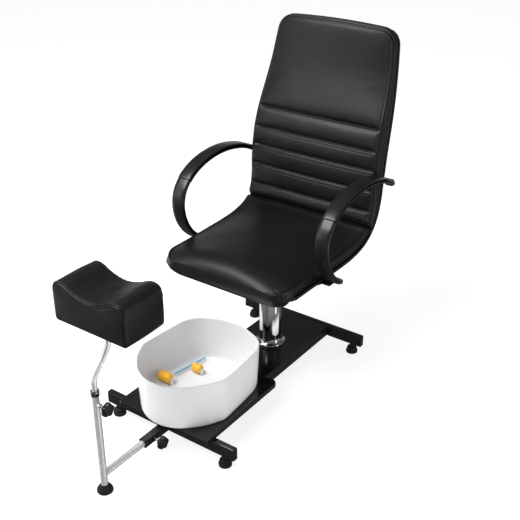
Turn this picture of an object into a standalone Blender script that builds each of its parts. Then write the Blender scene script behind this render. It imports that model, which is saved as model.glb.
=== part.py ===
"""Pedicure spa chair with a tray for a foot basin and a leg rest on an adjustable strut.

Blender 4.5, metres, +Z up. The sitter faces -Y and +X is the sitter's left. The floor is Z = 0.
Each sub-part is one object. Each moving body is an empty on its joint's axis that carries its pieces.
"""

import math

import bmesh
import bpy
from mathutils import Matrix, Vector

# ---------------------------------------------------------------- driving dimensions
GAP = 0.0003                    # clearance kept between pieces that touch
THREAD_RADIUS = 0.0034          # holes for the M6 studs, screws and bolts

COLUMN_Y = 0.2171               # the column stands here, so the whole chair is centred on the origin

BEAM_LENGTH = 0.500             # cross beams of rectangular steel tube
BEAM_DEPTH = 0.020
BEAM_HEIGHT = 0.041
BEAM_WALL = 0.0016
BEAM_TOP = 0.076
BEAM_CORNER = 0.003
FRONT_BEAM_Y = COLUMN_Y - 0.5375
REAR_BEAM_Y = COLUMN_Y + 0.2035
CAP_REACH = 0.0020              # each cap's head stands out past the tube by this much
GLIDE_X = 0.212                 # levelling glides, from the middle of the beam
GLIDE_RADIUS = 0.0205
GLIDE_HOLE_RADIUS = 0.0045

SPINE_WIDTH = 0.228             # folded steel channel between the beams
SPINE_SHEET = 0.0025
SPINE_FLANGE = 0.038

TRAY_WIDTH = 0.346              # folded sheet tray for the foot basin
TRAY_FRONT_Y = COLUMN_Y - 0.574
TRAY_REAR_Y = COLUMN_Y - 0.204
TRAY_HEIGHT = 0.0147
TRAY_SHEET = 0.0015
TRAY_TOP = BEAM_TOP + GAP + TRAY_HEIGHT

SLEEVE_SIDE = 0.025             # square sleeve that the leg-rest strut slides in
SLEEVE_BORE = 0.0214
SLEEVE_FRONT_Y = COLUMN_Y - 0.660
SLEEVE_REAR_Y = COLUMN_Y - 0.360
STRUT_Z = 0.060

COVER_RADIUS = 0.0377           # chrome column cover, and the cover that telescopes inside it
COVER_TOP = 0.282
INNER_COVER_RADIUS = 0.0352
CYLINDER_RADIUS = 0.025         # gas cylinder inside the covers, and its piston rod
ROD_RADIUS = 0.014
BRACKET_BOTTOM = 0.338          # underside of the seat bracket's hub

LEG_Y = COLUMN_Y - 0.822        # upright leg at the end of the strut
LEG_RADIUS = 0.0104
LEG_BORE = 0.0089
LEG_TOP = 0.345
POST_RADIUS = 0.0084            # S-bent post that carries the leg-rest cushion
POST_TOP_Y = COLUMN_Y - 0.757
CUSHION_REAR_Y = COLUMN_Y - 0.668
CUSHION_FRONT_Y = COLUMN_Y - 0.820
CUSHION_HALF_WIDTH = 0.126
CUSHION_BOTTOM = 0.522
CUSHION_HORN = 0.643
CUSHION_VALLEY = 0.618
LOWER_KNOB_Y = COLUMN_Y - 0.622
UPPER_KNOB_Z = 0.303
KNOB_RADIUS = 0.0195

ARM_INNER_X = 0.2515            # inner face of the armrest band
ARM_THICKNESS = 0.0185

BASIN_BOTTOM = TRAY_TOP + GAP
BASIN_TOP = 0.245
BASIN_Y = COLUMN_Y - 0.400
BASIN_WALL = 0.0035

# ---------------------------------------------------------------- scene, materials, bodies
for old in list(bpy.data.objects):
    bpy.data.objects.remove(old)


def material(name, colour, roughness, metallic=0.0):
    """A Principled BSDF material of one colour."""
    made = bpy.data.materials.new(name)
    made.use_nodes = True
    shader = made.node_tree.nodes["Principled BSDF"]
    shader.inputs["Base Color"].default_value = (*colour, 1.0)
    shader.inputs["Roughness"].default_value = roughness
    shader.inputs["Metallic"].default_value = metallic
    made.diffuse_color = (*colour, 1.0)
    return made


BLACK_STEEL = material("black_steel", (0.012, 0.012, 0.013), 0.35)
CHROME = material("chrome", (0.80, 0.81, 0.83), 0.08, 1.0)
BLACK_RUBBER = material("black_rubber", (0.015, 0.015, 0.015), 0.7)
BLACK_PLASTIC = material("black_plastic", (0.012, 0.012, 0.012), 0.45)
BLACK_LEATHER = material("black_leather", (0.010, 0.010, 0.011), 0.38)
WHITE_PLASTIC = material("white_plastic", (0.86, 0.87, 0.88), 0.3)
ORANGE_PLASTIC = material("orange_plastic", (0.95, 0.42, 0.03), 0.35)
TEAL_PLASTIC = material("teal_plastic", (0.10, 0.42, 0.55), 0.35)
ZINC_STEEL = material("zinc_steel", (0.55, 0.56, 0.58), 0.3, 1.0)


def body(name, place, carrier=None):
    """An empty on a joint's axis. place is in world coordinates."""
    made = bpy.data.objects.new(name, None)
    made.empty_display_size = 0.03
    bpy.context.scene.collection.objects.link(made)
    made["world"] = list(place)
    made.location = Vector(place)
    if carrier:
        made.parent = carrier
        made.location = Vector(place) - Vector(carrier["world"])
    return made


BASE = body("base", (0, 0, 0))
LIFT = body("lift_axis", (0, COLUMN_Y, BRACKET_BOTTOM), BASE)
SEAT = body("seat_swivel_axis", (0, COLUMN_Y, BRACKET_BOTTOM), LIFT)
LEVER_PIVOT = (-0.0600, COLUMN_Y + 0.030, 0.3570)
LEVER = body("height_lever_axis", LEVER_PIVOT, SEAT)
STRUT = body("strut_axis", (0, LEG_Y, STRUT_Z), BASE)
POST_PLUG = body("post_slide_axis", (0, LEG_Y, 0.150), STRUT)
POST = body("post_swivel_axis", (0, LEG_Y, LEG_TOP), POST_PLUG)
LOWER_KNOB = body("strut_knob_axis", (0.030, LOWER_KNOB_Y, STRUT_Z), BASE)
UPPER_KNOB = body("height_knob_axis", (0.030, LEG_Y, UPPER_KNOB_Z), STRUT)
BASIN = body("basin_axis", (0, BASIN_Y, BASIN_BOTTOM), BASE)


# ---------------------------------------------------------------- modelling helpers
def finish(name, mesh, look, carrier, sharp=40.0):
    """Make an object of a world-space bmesh, with its origin on the carrier's axis."""
    bmesh.ops.recalc_face_normals(mesh, faces=mesh.faces)
    bmesh.ops.translate(mesh, vec=-Vector(carrier["world"]), verts=mesh.verts)
    for edge in mesh.edges:
        angle = edge.calc_face_angle(math.pi) if len(edge.link_faces) == 2 else math.pi
        edge.smooth = angle < math.radians(sharp)
    for face in mesh.faces:
        face.smooth = True
    data = bpy.data.meshes.new(name)
    mesh.to_mesh(data)
    mesh.free()
    data.materials.append(look)
    made = bpy.data.objects.new(name, data)
    bpy.context.scene.collection.objects.link(made)
    made.parent = carrier
    return made


def loft(rings, loop=False):
    """Join rings of equal point count into a closed bmesh, capped at both ends or joined in a loop."""
    mesh = bmesh.new()
    made = [[mesh.verts.new(point) for point in ring] for ring in rings]
    pairs = list(zip(made, made[1:]))
    if loop:
        pairs.append((made[-1], made[0]))
    for first, second in pairs:
        count = len(first)
        for i in range(count):
            j = (i + 1) % count
            mesh.faces.new((first[i], first[j], second[j], second[i]))
    if not loop:
        mesh.faces.new(made[0])
        mesh.faces.new(list(reversed(made[-1])))
    return mesh


def revolve(profile, centre, axis="Z", steps=32, loop=False):
    """Turn a profile of (radius, height) pairs about an axis through centre. Radii stay above zero."""
    rings = []
    for radius, height in profile:
        ring = []
        for k in range(steps):
            turn = 2 * math.pi * k / steps
            across, up = radius * math.cos(turn), radius * math.sin(turn)
            point = {"Z": (across, up, height), "Y": (up, height, across), "X": (height, across, up)}[axis]
            ring.append(Vector(point) + Vector(centre))
        rings.append(ring)
    return loft(rings, loop)


def corner_outline(corners, steps=5):
    """A closed 2D outline through corners given as (x, y, radius), each rounded by an arc."""
    points = []
    for i, (x, y, radius) in enumerate(corners):
        here = Vector((x, y))
        before = (Vector(corners[i - 1][:2]) - here).normalized()
        after = (Vector(corners[(i + 1) % len(corners)][:2]) - here).normalized()
        half = before.angle(after) / 2
        reach = radius / math.tan(half)
        centre = here + (before + after).normalized() * (radius / math.sin(half))
        start = here + before * reach - centre
        sweep = start.angle_signed(here + after * reach - centre)
        for k in range(steps + 1):
            turned = start.copy()
            turned.rotate(Matrix.Rotation(-sweep * k / steps, 2))
            points.append(centre + turned)
    return points


def rounded_box_outline(width, height, radius, steps=2):
    """A rounded rectangle about (0, 0), anticlockwise."""
    w, h = width / 2, height / 2
    return corner_outline([(w, -h, radius), (w, h, radius), (-w, h, radius), (-w, -h, radius)], steps)


def inset(outline, distance):
    """The outline moved inwards by a distance, point by point along its mean normals."""
    moved = []
    for i, here in enumerate(outline):
        before = (here - outline[i - 1]).normalized()
        after = (outline[(i + 1) % len(outline)] - here).normalized()
        along = (before + after).normalized()
        normal = Vector((-along.y, along.x))
        moved.append(here + normal * (distance / max(0.5, normal.dot(Vector((-after.y, after.x))))))
    return moved


def flat_ring(outline, height):
    """An outline in X and Y, lifted to a height."""
    return [Vector((point.x, point.y, height)) for point in outline]


def prism(outline, axis, start, end):
    """Extrude an outline along X or Y. For X it lies in (Y, Z), and for Y in (X, Z)."""
    rings = []
    for along in (start, end):
        if axis == "X":
            rings.append([Vector((along, p.x, p.y)) for p in outline])
        else:
            rings.append([Vector((p.x, along, p.y)) for p in outline])
    return loft(rings)


def hollow(outer, inner, axis, start, end):
    """Extrude a tube between two outlines of equal point count, open at both ends."""
    def ring(outline, along):
        if axis == "X":
            return [Vector((along, p.x, p.y)) for p in outline]
        return [Vector((p.x, along, p.y)) for p in outline]
    return loft([ring(outer, start), ring(outer, end), ring(inner, end), ring(inner, start)], loop=True)


def shifted(outline, x, y):
    """The outline moved in its own plane."""
    return [Vector((p.x + x, p.y + y)) for p in outline]


def cutter(name, mesh):
    """A hidden solid for a Boolean."""
    made = finish(name, mesh, BLACK_STEEL, BASE)
    made.hide_render = True
    made.display_type = "WIRE"
    return made


def boolean(target, tool, operation="DIFFERENCE"):
    """Cut a solid out of the target, or weld it on."""
    step = target.modifiers.new(operation.title() + "_" + tool.name, "BOOLEAN")
    step.operation = operation
    step.solver = "EXACT"
    step.object = tool


def smoothstep(x):
    """Ease from 0 to 1 as x goes from 0 to 1."""
    x = min(1.0, max(0.0, x))
    return x * x * (3 - 2 * x)


def curve_through(points, value):
    """Catmull-Rom point of a 2D polyline at value, counted in points from 0."""
    last = len(points) - 1
    i = min(int(value), last - 1)
    t = value - i
    p0, p1 = Vector(points[max(i - 1, 0)]), Vector(points[i])
    p2, p3 = Vector(points[i + 1]), Vector(points[min(i + 2, last)])
    return 0.5 * (2 * p1 + (p2 - p0) * t + (2 * p0 - 5 * p1 + 4 * p2 - p3) * t ** 2
                  + (3 * p1 - p0 - 3 * p2 + p3) * t ** 3)


def resampled(points, count, finer=24):
    """The Catmull-Rom curve through points, as count + 1 points at equal spacing."""
    last = len(points) - 1
    fine = [curve_through(points, last * k / (finer * last)) for k in range(finer * last + 1)]
    lengths = [0.0]
    for a, b in zip(fine, fine[1:]):
        lengths.append(lengths[-1] + (b - a).length)
    out = []
    j = 0
    for k in range(count + 1):
        want = lengths[-1] * k / count
        while j < len(fine) - 2 and lengths[j + 1] < want:
            j += 1
        step = lengths[j + 1] - lengths[j]
        out.append(fine[j].lerp(fine[j + 1], (want - lengths[j]) / step if step else 0.0))
    return out


# ---------------------------------------------------------------- base: beams, caps and glides
def beam(name, y):
    """A cross beam of rectangular tube, with a hole for the stem of each glide."""
    outer = rounded_box_outline(BEAM_DEPTH, BEAM_HEIGHT, BEAM_CORNER)
    inner = rounded_box_outline(BEAM_DEPTH - 2 * BEAM_WALL, BEAM_HEIGHT - 2 * BEAM_WALL, BEAM_CORNER / 2)
    middle = BEAM_TOP - BEAM_HEIGHT / 2
    half = BEAM_LENGTH / 2 - CAP_REACH
    mesh = hollow(shifted(outer, y, middle), shifted(inner, y, middle), "X", -half, half)
    made = finish(name, mesh, BLACK_STEEL, BASE)
    for side, x in (("left", GLIDE_X), ("right", -GLIDE_X)):
        low = BEAM_TOP - BEAM_HEIGHT - 0.002
        hole = revolve([(GLIDE_HOLE_RADIUS, low), (GLIDE_HOLE_RADIUS, low + 0.006)], (x, y, 0), steps=16)
        boolean(made, cutter("cut_" + name + "_" + side, hole))
    return made


def beam_cap(name, y, side):
    """A plastic cap whose plug fits the beam's open end."""
    middle = BEAM_TOP - BEAM_HEIGHT / 2
    end = BEAM_LENGTH / 2
    outer = shifted(rounded_box_outline(BEAM_DEPTH, BEAM_HEIGHT, BEAM_CORNER), y, middle)
    plug_depth, plug_height = BEAM_DEPTH - 2 * BEAM_WALL - 2 * GAP, BEAM_HEIGHT - 2 * BEAM_WALL - 2 * GAP
    plug = shifted(rounded_box_outline(plug_depth, plug_height, BEAM_CORNER / 2), y, middle)

    def ring(outline, x):
        return [Vector((side * x, p.x, p.y)) for p in outline]

    head, plug_length, break_edge = CAP_REACH - GAP, 0.0143, 0.0006
    mesh = loft([ring(plug, end - head - plug_length), ring(plug, end - head), ring(outer, end - head),
                 ring(outer, end - break_edge), ring(inset(outer, break_edge), end)])
    return finish(name, mesh, BLACK_PLASTIC, BASE)


def glide(name, x, y):
    """A levelling glide: ribbed rubber foot on a threaded stem. Its axis is the thread's."""
    r = GLIDE_RADIUS
    top = BEAM_TOP - BEAM_HEIGHT
    profile = [(r - 0.0020, 0.0), (r, 0.0025), (r, 0.0100), (r - 0.0050, 0.0125), (r - 0.0050, 0.0150),
               (r - 0.0030, 0.0165), (r - 0.0045, 0.0225), (0.0085, 0.0240), (0.0085, top - 0.0008),
               (0.0040, top - 0.0006), (0.0040, top + 0.018)]
    carrier = body(name + "_axis", (x, y, 0.0), BASE)
    return finish(name, revolve(profile, (x, y, 0), steps=14), BLACK_RUBBER, carrier)


front_beam = beam("front_beam", FRONT_BEAM_Y)
rear_beam = beam("rear_beam", REAR_BEAM_Y)
for end_name, end_y in (("front", FRONT_BEAM_Y), ("rear", REAR_BEAM_Y)):
    for side_name, side in (("left", 1), ("right", -1)):
        beam_cap(end_name + "_" + side_name + "_cap", end_y, side)
        glide(end_name + "_" + side_name + "_glide", side * GLIDE_X, end_y)

sleeve_hole = shifted(rounded_box_outline(SLEEVE_SIDE + 2 * GAP, SLEEVE_SIDE + 2 * GAP, 0.002), 0, STRUT_Z)
sleeve_hole = prism(sleeve_hole, "Y", FRONT_BEAM_Y - 0.03, FRONT_BEAM_Y + 0.03)
boolean(front_beam, cutter("cut_beam_sleeve", sleeve_hole))


# ---------------------------------------------------------------- base: spine, tray and sleeve
def spine():
    """A folded channel, open below. Its top is level with the beams, and the gas cylinder passes through."""
    w, top, sheet = SPINE_WIDTH / 2, BEAM_TOP, SPINE_SHEET
    low = top - SPINE_FLANGE
    bend = 0.005
    outline = corner_outline([
        (-w, low, 0.0006), (-w, top, bend), (w, top, bend), (w, low, 0.0006),
        (w - sheet, low, 0.0006), (w - sheet, top - sheet, bend - sheet),
        (-w + sheet, top - sheet, bend - sheet), (-w + sheet, low, 0.0006)], 3)
    start = FRONT_BEAM_Y + BEAM_DEPTH / 2 + GAP
    end = REAR_BEAM_Y - BEAM_DEPTH / 2 - GAP
    made = finish("base_spine", prism(outline, "Y", start, end), BLACK_STEEL, BASE)
    hole = revolve([(CYLINDER_RADIUS + 0.0006, top - 0.02), (CYLINDER_RADIUS + 0.0006, top + 0.02)],
                   (0, COLUMN_Y, 0), steps=32)
    boolean(made, cutter("cut_spine_cylinder", hole))
    return made


def tray():
    """The basin's tray: sheet folded down all round, with rounded corners, resting on beam and spine."""
    w = TRAY_WIDTH / 2
    outline = corner_outline([(-w, TRAY_FRONT_Y, 0.006), (w, TRAY_FRONT_Y, 0.006),
                              (w, TRAY_REAR_Y, 0.022), (-w, TRAY_REAR_Y, 0.022)], 5)
    low, top = BEAM_TOP + GAP, TRAY_TOP
    rings = [flat_ring(inset(outline, 0.0030), top),
             flat_ring(inset(outline, 0.0009), top - 0.0006),
             flat_ring(outline, top - 0.0028),
             flat_ring(outline, low),
             flat_ring(inset(outline, TRAY_SHEET), low),
             flat_ring(inset(outline, TRAY_SHEET), top - 0.0030),
             flat_ring(inset(outline, TRAY_SHEET + 0.0018), top - TRAY_SHEET)]
    return finish("foot_tray", loft(rings), BLACK_STEEL, BASE)


def sleeve():
    """The square sleeve through the front beam, with a threaded boss for the clamping knob."""
    outer = shifted(rounded_box_outline(SLEEVE_SIDE, SLEEVE_SIDE, 0.002, 3), 0, STRUT_Z)
    turns = [math.radians(-45 + 360 * (k + 0.5) / len(outer)) for k in range(len(outer))]
    bore = [Vector((math.cos(turn), math.sin(turn))) * (SLEEVE_BORE / 2) for turn in turns]
    mesh = hollow(outer, shifted(bore, 0, STRUT_Z), "Y", SLEEVE_FRONT_Y, SLEEVE_REAR_Y)
    made = finish("strut_sleeve", mesh, BLACK_STEEL, BASE)
    boss_radius, face = 0.0075, SLEEVE_SIDE / 2
    profile = [(boss_radius, face - 0.001), (boss_radius, face + 0.0045),
               (boss_radius - 0.0007, face + 0.0052)]
    boss = revolve(profile, (0, LOWER_KNOB_Y, STRUT_Z), "X", 20)
    boolean(made, cutter("add_sleeve_boss", boss), "UNION")
    thread = revolve([(THREAD_RADIUS, 0.008), (THREAD_RADIUS, 0.03)], (0, LOWER_KNOB_Y, STRUT_Z), "X", 12)
    boolean(made, cutter("cut_sleeve_thread", thread))
    return made


spine()
tray()
sleeve()


# ---------------------------------------------------------------- column: covers, cylinder, rod
def column():
    """Chrome bell flange and cover on the base, with the gas lift inside."""
    r = COVER_RADIUS
    low = BEAM_TOP + GAP
    bell = [(r + 0.0135, low), (r + 0.0135, low + 0.0035), (r + 0.0125, low + 0.0055),
            (r + 0.0070, low + 0.0110), (r + 0.0030, low + 0.0180), (r + 0.0020, low + 0.0220),
            (r + GAP, low + 0.0220), (r + GAP, low)]
    finish("column_flange", revolve(bell, (0, COLUMN_Y, 0), steps=32, loop=True), CHROME, BASE)
    wall = 0.0018
    cover = [(r, low), (r, COVER_TOP - 0.001), (r - 0.0008, COVER_TOP), (r - wall, COVER_TOP),
             (r - wall, low)]
    finish("column_cover", revolve(cover, (0, COLUMN_Y, 0), steps=32, loop=True), CHROME, BASE)
    c = CYLINDER_RADIUS
    cylinder = [(c - 0.001, 0.040), (c, 0.041), (c, 0.262), (c - 0.002, 0.264), (ROD_RADIUS + 0.0005, 0.264),
                (ROD_RADIUS + 0.0005, 0.050), (0.004, 0.050), (0.004, 0.040)]
    finish("gas_cylinder", revolve(cylinder, (0, COLUMN_Y, 0), steps=16, loop=True), BLACK_STEEL, BASE)
    rod = [(ROD_RADIUS - 0.001, 0.120), (ROD_RADIUS, 0.121), (ROD_RADIUS, BRACKET_BOTTOM - 0.006),
           (ROD_RADIUS - 0.0005, BRACKET_BOTTOM + 0.008), (ROD_RADIUS - 0.0020, BRACKET_BOTTOM + 0.010)]
    finish("piston_rod", revolve(rod, (0, COLUMN_Y, 0), steps=16), ZINC_STEEL, LIFT)
    i = INNER_COVER_RADIUS
    inner = [(i, 0.165), (i, BRACKET_BOTTOM - 0.0016), (i - 0.0015, BRACKET_BOTTOM - GAP),
             (ROD_RADIUS + GAP, BRACKET_BOTTOM - GAP), (ROD_RADIUS + GAP, BRACKET_BOTTOM - 0.002),
             (i - 0.0015, BRACKET_BOTTOM - 0.002), (i - 0.0015, 0.165)]
    finish("telescoping_cover", revolve(inner, (0, COLUMN_Y, 0), steps=24, loop=True), CHROME, LIFT)


column()


# ---------------------------------------------------------------- seat: the L-shaped path
# The back and underside of the shell, as (Y from the column, Z), from its front edge to the top of the back.
SHELL_PATH = [(-0.206, 0.3855), (-0.120, 0.3845), (-0.030, 0.3845), (0.050, 0.3850), (0.125, 0.3895),
              (0.200, 0.4080), (0.258, 0.4450), (0.292, 0.4960), (0.305, 0.5600), (0.307, 0.6300),
              (0.316, 0.7000), (0.334, 0.7750), (0.355, 0.8500), (0.374, 0.9250), (0.391, 1.0000),
              (0.4040, 1.0610), (0.4112, 1.0975)]
PATH_COUNT = 200
PATH = resampled(SHELL_PATH, PATH_COUNT)
PATH_LENGTH = sum((b - a).length for a, b in zip(PATH, PATH[1:]))
# Shell and cushions share these stations, close together round the bend, so that their faces stay apart.
KNOTS = ([0.0, 0.090, 0.180, 0.250] + [0.280 + 0.030 * k for k in range(16)]
         + [0.760 + (PATH_LENGTH - 0.760) * k / 6 for k in range(7)])
SHELL_THICKNESS = 0.013
CUSHION_LOW = SHELL_THICKNESS + 0.0010          # the cushions start this far off the shell's outer face
SEAM_GAP = 0.0006                               # half the gap between seat and back cushion at the crease
SEAT_HIGH, SEAT_CROWN = 0.0776, 0.036           # the seat's face off the shell, and the bulge of its middle
BACK_THICK, BACK_THINNING = 0.066, 0.027        # the back cushion low down, and its thinning above
TOP_RADIUS = 0.046                              # plan corners at the top of the back
TOP_STATIONS = [PATH_LENGTH - f for f in (0.0460, 0.0340, 0.0230, 0.0150, 0.0085, 0.0038, 0.0010, 0.0)]


def knot(distance):
    """Place and inward normal of the smooth shell path at a distance from its start, as (Y, Z) vectors."""
    i = round(distance / PATH_LENGTH * PATH_COUNT)
    along = (PATH[min(i + 2, PATH_COUNT)] - PATH[max(i - 2, 0)]).normalized()
    return PATH[i], Vector((-along.y, along.x))


KNOT_FRAMES = [knot(distance) for distance in KNOTS]


def between_knots(distance):
    """The knot before a distance, and the fraction of the way to the next."""
    i = 0
    while i < len(KNOTS) - 2 and distance > KNOTS[i + 1]:
        i += 1
    return i, (distance - KNOTS[i]) / (KNOTS[i + 1] - KNOTS[i])


def on_path(distance):
    """Place and normal at any distance, straight between the knots on either side."""
    i, f = between_knots(distance)
    return KNOT_FRAMES[i][0].lerp(KNOT_FRAMES[i + 1][0], f), KNOT_FRAMES[i][1].lerp(KNOT_FRAMES[i + 1][1], f)


def distance_at(height, offset=0.0):
    """The path distance where a face this far off the shell's outer face first reaches a height."""
    for k in range(PATH_COUNT + 1):
        distance = PATH_LENGTH * k / PATH_COUNT
        place, normal = on_path(distance)
        if place.y + normal.y * offset > height:
            return distance
    return PATH_LENGTH


CREASE_HEIGHT = 0.450
CREASE = distance_at(CREASE_HEIGHT)             # where the seat meets the back
BACK_STRAIGHT = distance_at(0.650)
NECK_LOW, NECK_HIGH = distance_at(0.765), distance_at(0.945)


def half_width(distance):
    """Half the width of the upholstery: widest at the crease, narrower at the nose and the top."""
    taper = max(0.0, distance - BACK_STRAIGHT) / (PATH_LENGTH - BACK_STRAIGHT)
    return 0.240 + 0.008 * smoothstep(distance / CREASE) - 0.031 * taper ** 2


DISH = (0.0, 0.68, 0.82, 0.95)                  # where the width of shell and cushions is sampled


SEAT_DISH, BACK_DISH = 0.030, 0.009             # rise of the shell's side edges, below the seat and high up
KNOT_RISES = [SEAT_DISH + (BACK_DISH - SEAT_DISH) * smoothstep((d - CREASE) / 0.230) for d in KNOTS]


def dish(x, distance):
    """How far the shell's sides rise off its middle plane: deep below the seat, shallow on the back."""
    i, f = between_knots(distance)
    rise = KNOT_RISES[i] + (KNOT_RISES[i + 1] - KNOT_RISES[i]) * f
    return rise * max(0.0, (abs(x) / half_width(distance) - DISH[1]) / (1 - DISH[1])) ** 2


def crease_fall(from_crease):
    """How far a cushion's face falls away towards the crease, over its last 30 mm."""
    return 0.017 * (1 - min(1.0, from_crease / 0.030)) ** 2


def corner_trim(from_end, radius):
    """How far a plan corner of this radius draws in the side, at a distance from the end."""
    rise = radius - min(max(from_end, 0.0), radius)
    return radius - math.sqrt(radius ** 2 - rise ** 2)


def mirrored_ring(right, distance, ahead=0.0):
    """A closed ring from its right half of (x, offset), both ends on X = 0, at a distance along the path."""
    place, normal = on_path(distance)
    along = Vector((normal.y, -normal.x)) * ahead
    left = [(-x, offset) for x, offset in reversed(right[1:-1])]
    start = Vector((0, COLUMN_Y + place.x + along.x, place.y + along.y))
    return [start + Vector((x, normal.x * offset, normal.y * offset)) for x, offset in right + left]


def cushion_half(distance, half, low, high, crown, top_round=0.022, low_round=0.010):
    """Right half of a cushion's section: dished below, rounded edges, bulging sides and a crown on top."""
    thick = high - low
    r, b = min(top_round, thick * 0.55), min(low_round, thick * 0.3)
    points = [(f * half, low) for f in DISH]
    for k in range(3):
        turn = math.radians(-90 + 90 * k / 2)
        points.append((half - b + b * math.cos(turn), low + b + b * math.sin(turn)))
    points.append((half + 0.0022, (low + b + high - r) / 2))
    for k in range(5):
        turn = math.radians(90 * k / 4)
        points.append((half - r + r * math.cos(turn), high - r + r * math.sin(turn)))
    points += [(0.70 * (half - r), high), (0.38 * (half - r), high), (0.0, high)]
    out = []
    for x, offset in points:
        up = (offset - low) / thick
        out.append((x, offset + crown * max(0.0, 1 - (x / half) ** 2) * up + dish(x, distance) * (1 - up)))
    return out


def shell():
    """The moulded shell under the seat and behind the back, upholstered in the same leather."""
    rings = []
    for d in KNOTS[:-1] + TOP_STATIONS:
        half = half_width(d) - corner_trim(PATH_LENGTH - d, TOP_RADIUS)
        low = [(f * half, dish(f * half, d)) for f in DISH]
        half -= 0.003
        edge = dish(half, d)
        rim = [(half - 0.003, edge + 0.0005), (half, edge + 0.004), (half, edge + SHELL_THICKNESS - 0.002)]
        high = [(x, rise + SHELL_THICKNESS) for x, rise in reversed(low)]
        rings.append(mirrored_ring(low + rim + high, d))
    return finish("seat_shell", loft(rings), BLACK_LEATHER, SEAT)


def seat_cushion():
    """Seat cushion: its nose wraps round the shell's front edge, and it falls away to the crease."""
    rings = []
    nose, tip, corner = 0.079, 0.064, 0.050     # the nose's reach, height off the shell and plan corners
    for degrees in (84, 72, 58, 43, 28, 14, 0):
        c, s = math.cos(math.radians(degrees)), math.sin(math.radians(degrees))
        half = half_width(0.0) - corner_trim(nose * (1 - s) + 0.002, corner)
        low, high = tip - 0.068 * c, tip + (SEAT_HIGH - tip) * c
        right = cushion_half(0.0, half, low, high, SEAT_CROWN * c, 0.026, 0.020)
        rings.append(mirrored_ring(right, 0.0, -nose * s - 0.0018))
    count = 15
    for k in range(count + 1):
        d = CREASE * (1 - (1 - k / count) ** 1.35)
        rear = smoothstep(1 - (CREASE - d) / 0.150)
        high = SEAT_HIGH - crease_fall(CREASE - d)
        right = cushion_half(d, half_width(d), CUSHION_LOW, high, SEAT_CROWN - 0.022 * rear, 0.024)
        rings.append(mirrored_ring(right, d, {0: -0.0008, count: -SEAM_GAP}.get(k, 0.0)))
    return finish("seat_cushion", loft(rings), BLACK_LEATHER, SEAT, 60.0)


CHANNELS = [0.542, 0.612, 0.681, 0.742, 0.811]      # heights of the back's cross channels, on its face
CHANNEL_DEPTH, CHANNEL_REACH = 0.0085, 0.0060


def back_cushion():
    """Back cushion: soft cross channels low down, a plain panel above, and rounded top corners."""
    channel_at = [distance_at(z, 0.074) for z in CHANNELS]
    stations = [CREASE + f * (channel_at[0] - CREASE) for f in (0.0, 0.14, 0.34, 0.62)]
    for a, b in zip(channel_at, channel_at[1:] + [None]):
        stations += [a - 0.0052, a, a + 0.0052]
        if b:
            stations.append((a + b) / 2)
    edge = 0.016
    end = PATH_LENGTH
    plain = channel_at[-1] + 0.020
    above = KNOTS[-2]
    stations += [plain + (above - plain) * k / 5 for k in range(6)] + TOP_STATIONS
    rings = []
    for d in stations:
        from_top, from_crease = end - d, d - CREASE
        full = BACK_THICK - BACK_THINNING * smoothstep((d - NECK_LOW) / (NECK_HIGH - NECK_LOW))
        half = half_width(d) - corner_trim(from_top, TOP_RADIUS)
        low = CUSHION_LOW + corner_trim(from_top, 0.006)
        high = CUSHION_LOW + full - crease_fall(from_crease) - corner_trim(from_top, edge)
        dip = sum(CHANNEL_DEPTH * math.exp(-((d - at) / CHANNEL_REACH) ** 2) for at in channel_at)
        right = []
        for x, offset in cushion_half(d, half, low, high, 0.010, 0.016):
            across = 1 - smoothstep((x / half - 0.86) / 0.12)
            up = (offset - low) / (high - low)
            right.append((x, offset - dip * across * smoothstep((up - 0.6) / 0.3)))
        ring = mirrored_ring(right, d, SEAM_GAP if d == CREASE else 0.0)
        arch = 0.009 * smoothstep(1 - from_top / 0.100)
        for point in ring:
            point.z += arch * (1 - (point.x / 0.216) ** 2)
        rings.append(ring)
    return finish("back_cushion", loft(rings), BLACK_LEATHER, SEAT, 60.0)


shell()
seat_cushion()
back_cushion()


# ---------------------------------------------------------------- seat: bracket and height lever
def seat_bracket():
    """Pressed bracket under the shell: a flanged plate with a box and the hub for the piston rod."""
    top = SHELL_PATH[1][1]
    hub_radius = 0.030
    plate = corner_outline([(-0.095, -0.105, 0.012), (0.095, -0.105, 0.012),
                            (0.095, 0.060, 0.012), (-0.095, 0.060, 0.012)], 4)
    rim = shifted(plate, 0, COLUMN_Y)
    box = shifted(corner_outline([(-0.058, -0.060, 0.014), (0.058, -0.060, 0.014),
                                  (0.058, 0.048, 0.014), (-0.058, 0.048, 0.014)], 4), 0, COLUMN_Y)
    turns = [math.radians(-135 - 8 + 360 * (k + 0.5) / len(rim)) for k in range(len(rim))]
    hub = shifted([Vector((math.cos(turn), math.sin(turn))) * hub_radius for turn in turns], 0, COLUMN_Y)
    rings = [flat_ring(rim, top - 0.0005), flat_ring(rim, top - 0.0035),
             flat_ring(inset(box, -0.006), top - 0.0035), flat_ring(box, top - 0.030),
             flat_ring(inset(box, 0.005), top - 0.035), flat_ring(hub, top - 0.036),
             flat_ring(hub, BRACKET_BOTTOM)]
    made = finish("seat_bracket", loft(rings), BLACK_STEEL, SEAT)
    socket = revolve([(ROD_RADIUS + GAP, BRACKET_BOTTOM - 0.01), (ROD_RADIUS + GAP, BRACKET_BOTTOM + 0.012)],
                     (0, COLUMN_Y, 0), steps=24)
    boolean(made, cutter("cut_bracket_socket", socket))
    x, y, z = LEVER_PIVOT
    slot = shifted(rounded_box_outline(0.014, 0.016, 0.003, 2), y, z)
    boolean(made, cutter("cut_bracket_lever", prism(slot, "X", -0.080, -0.036)))
    return made


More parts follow.
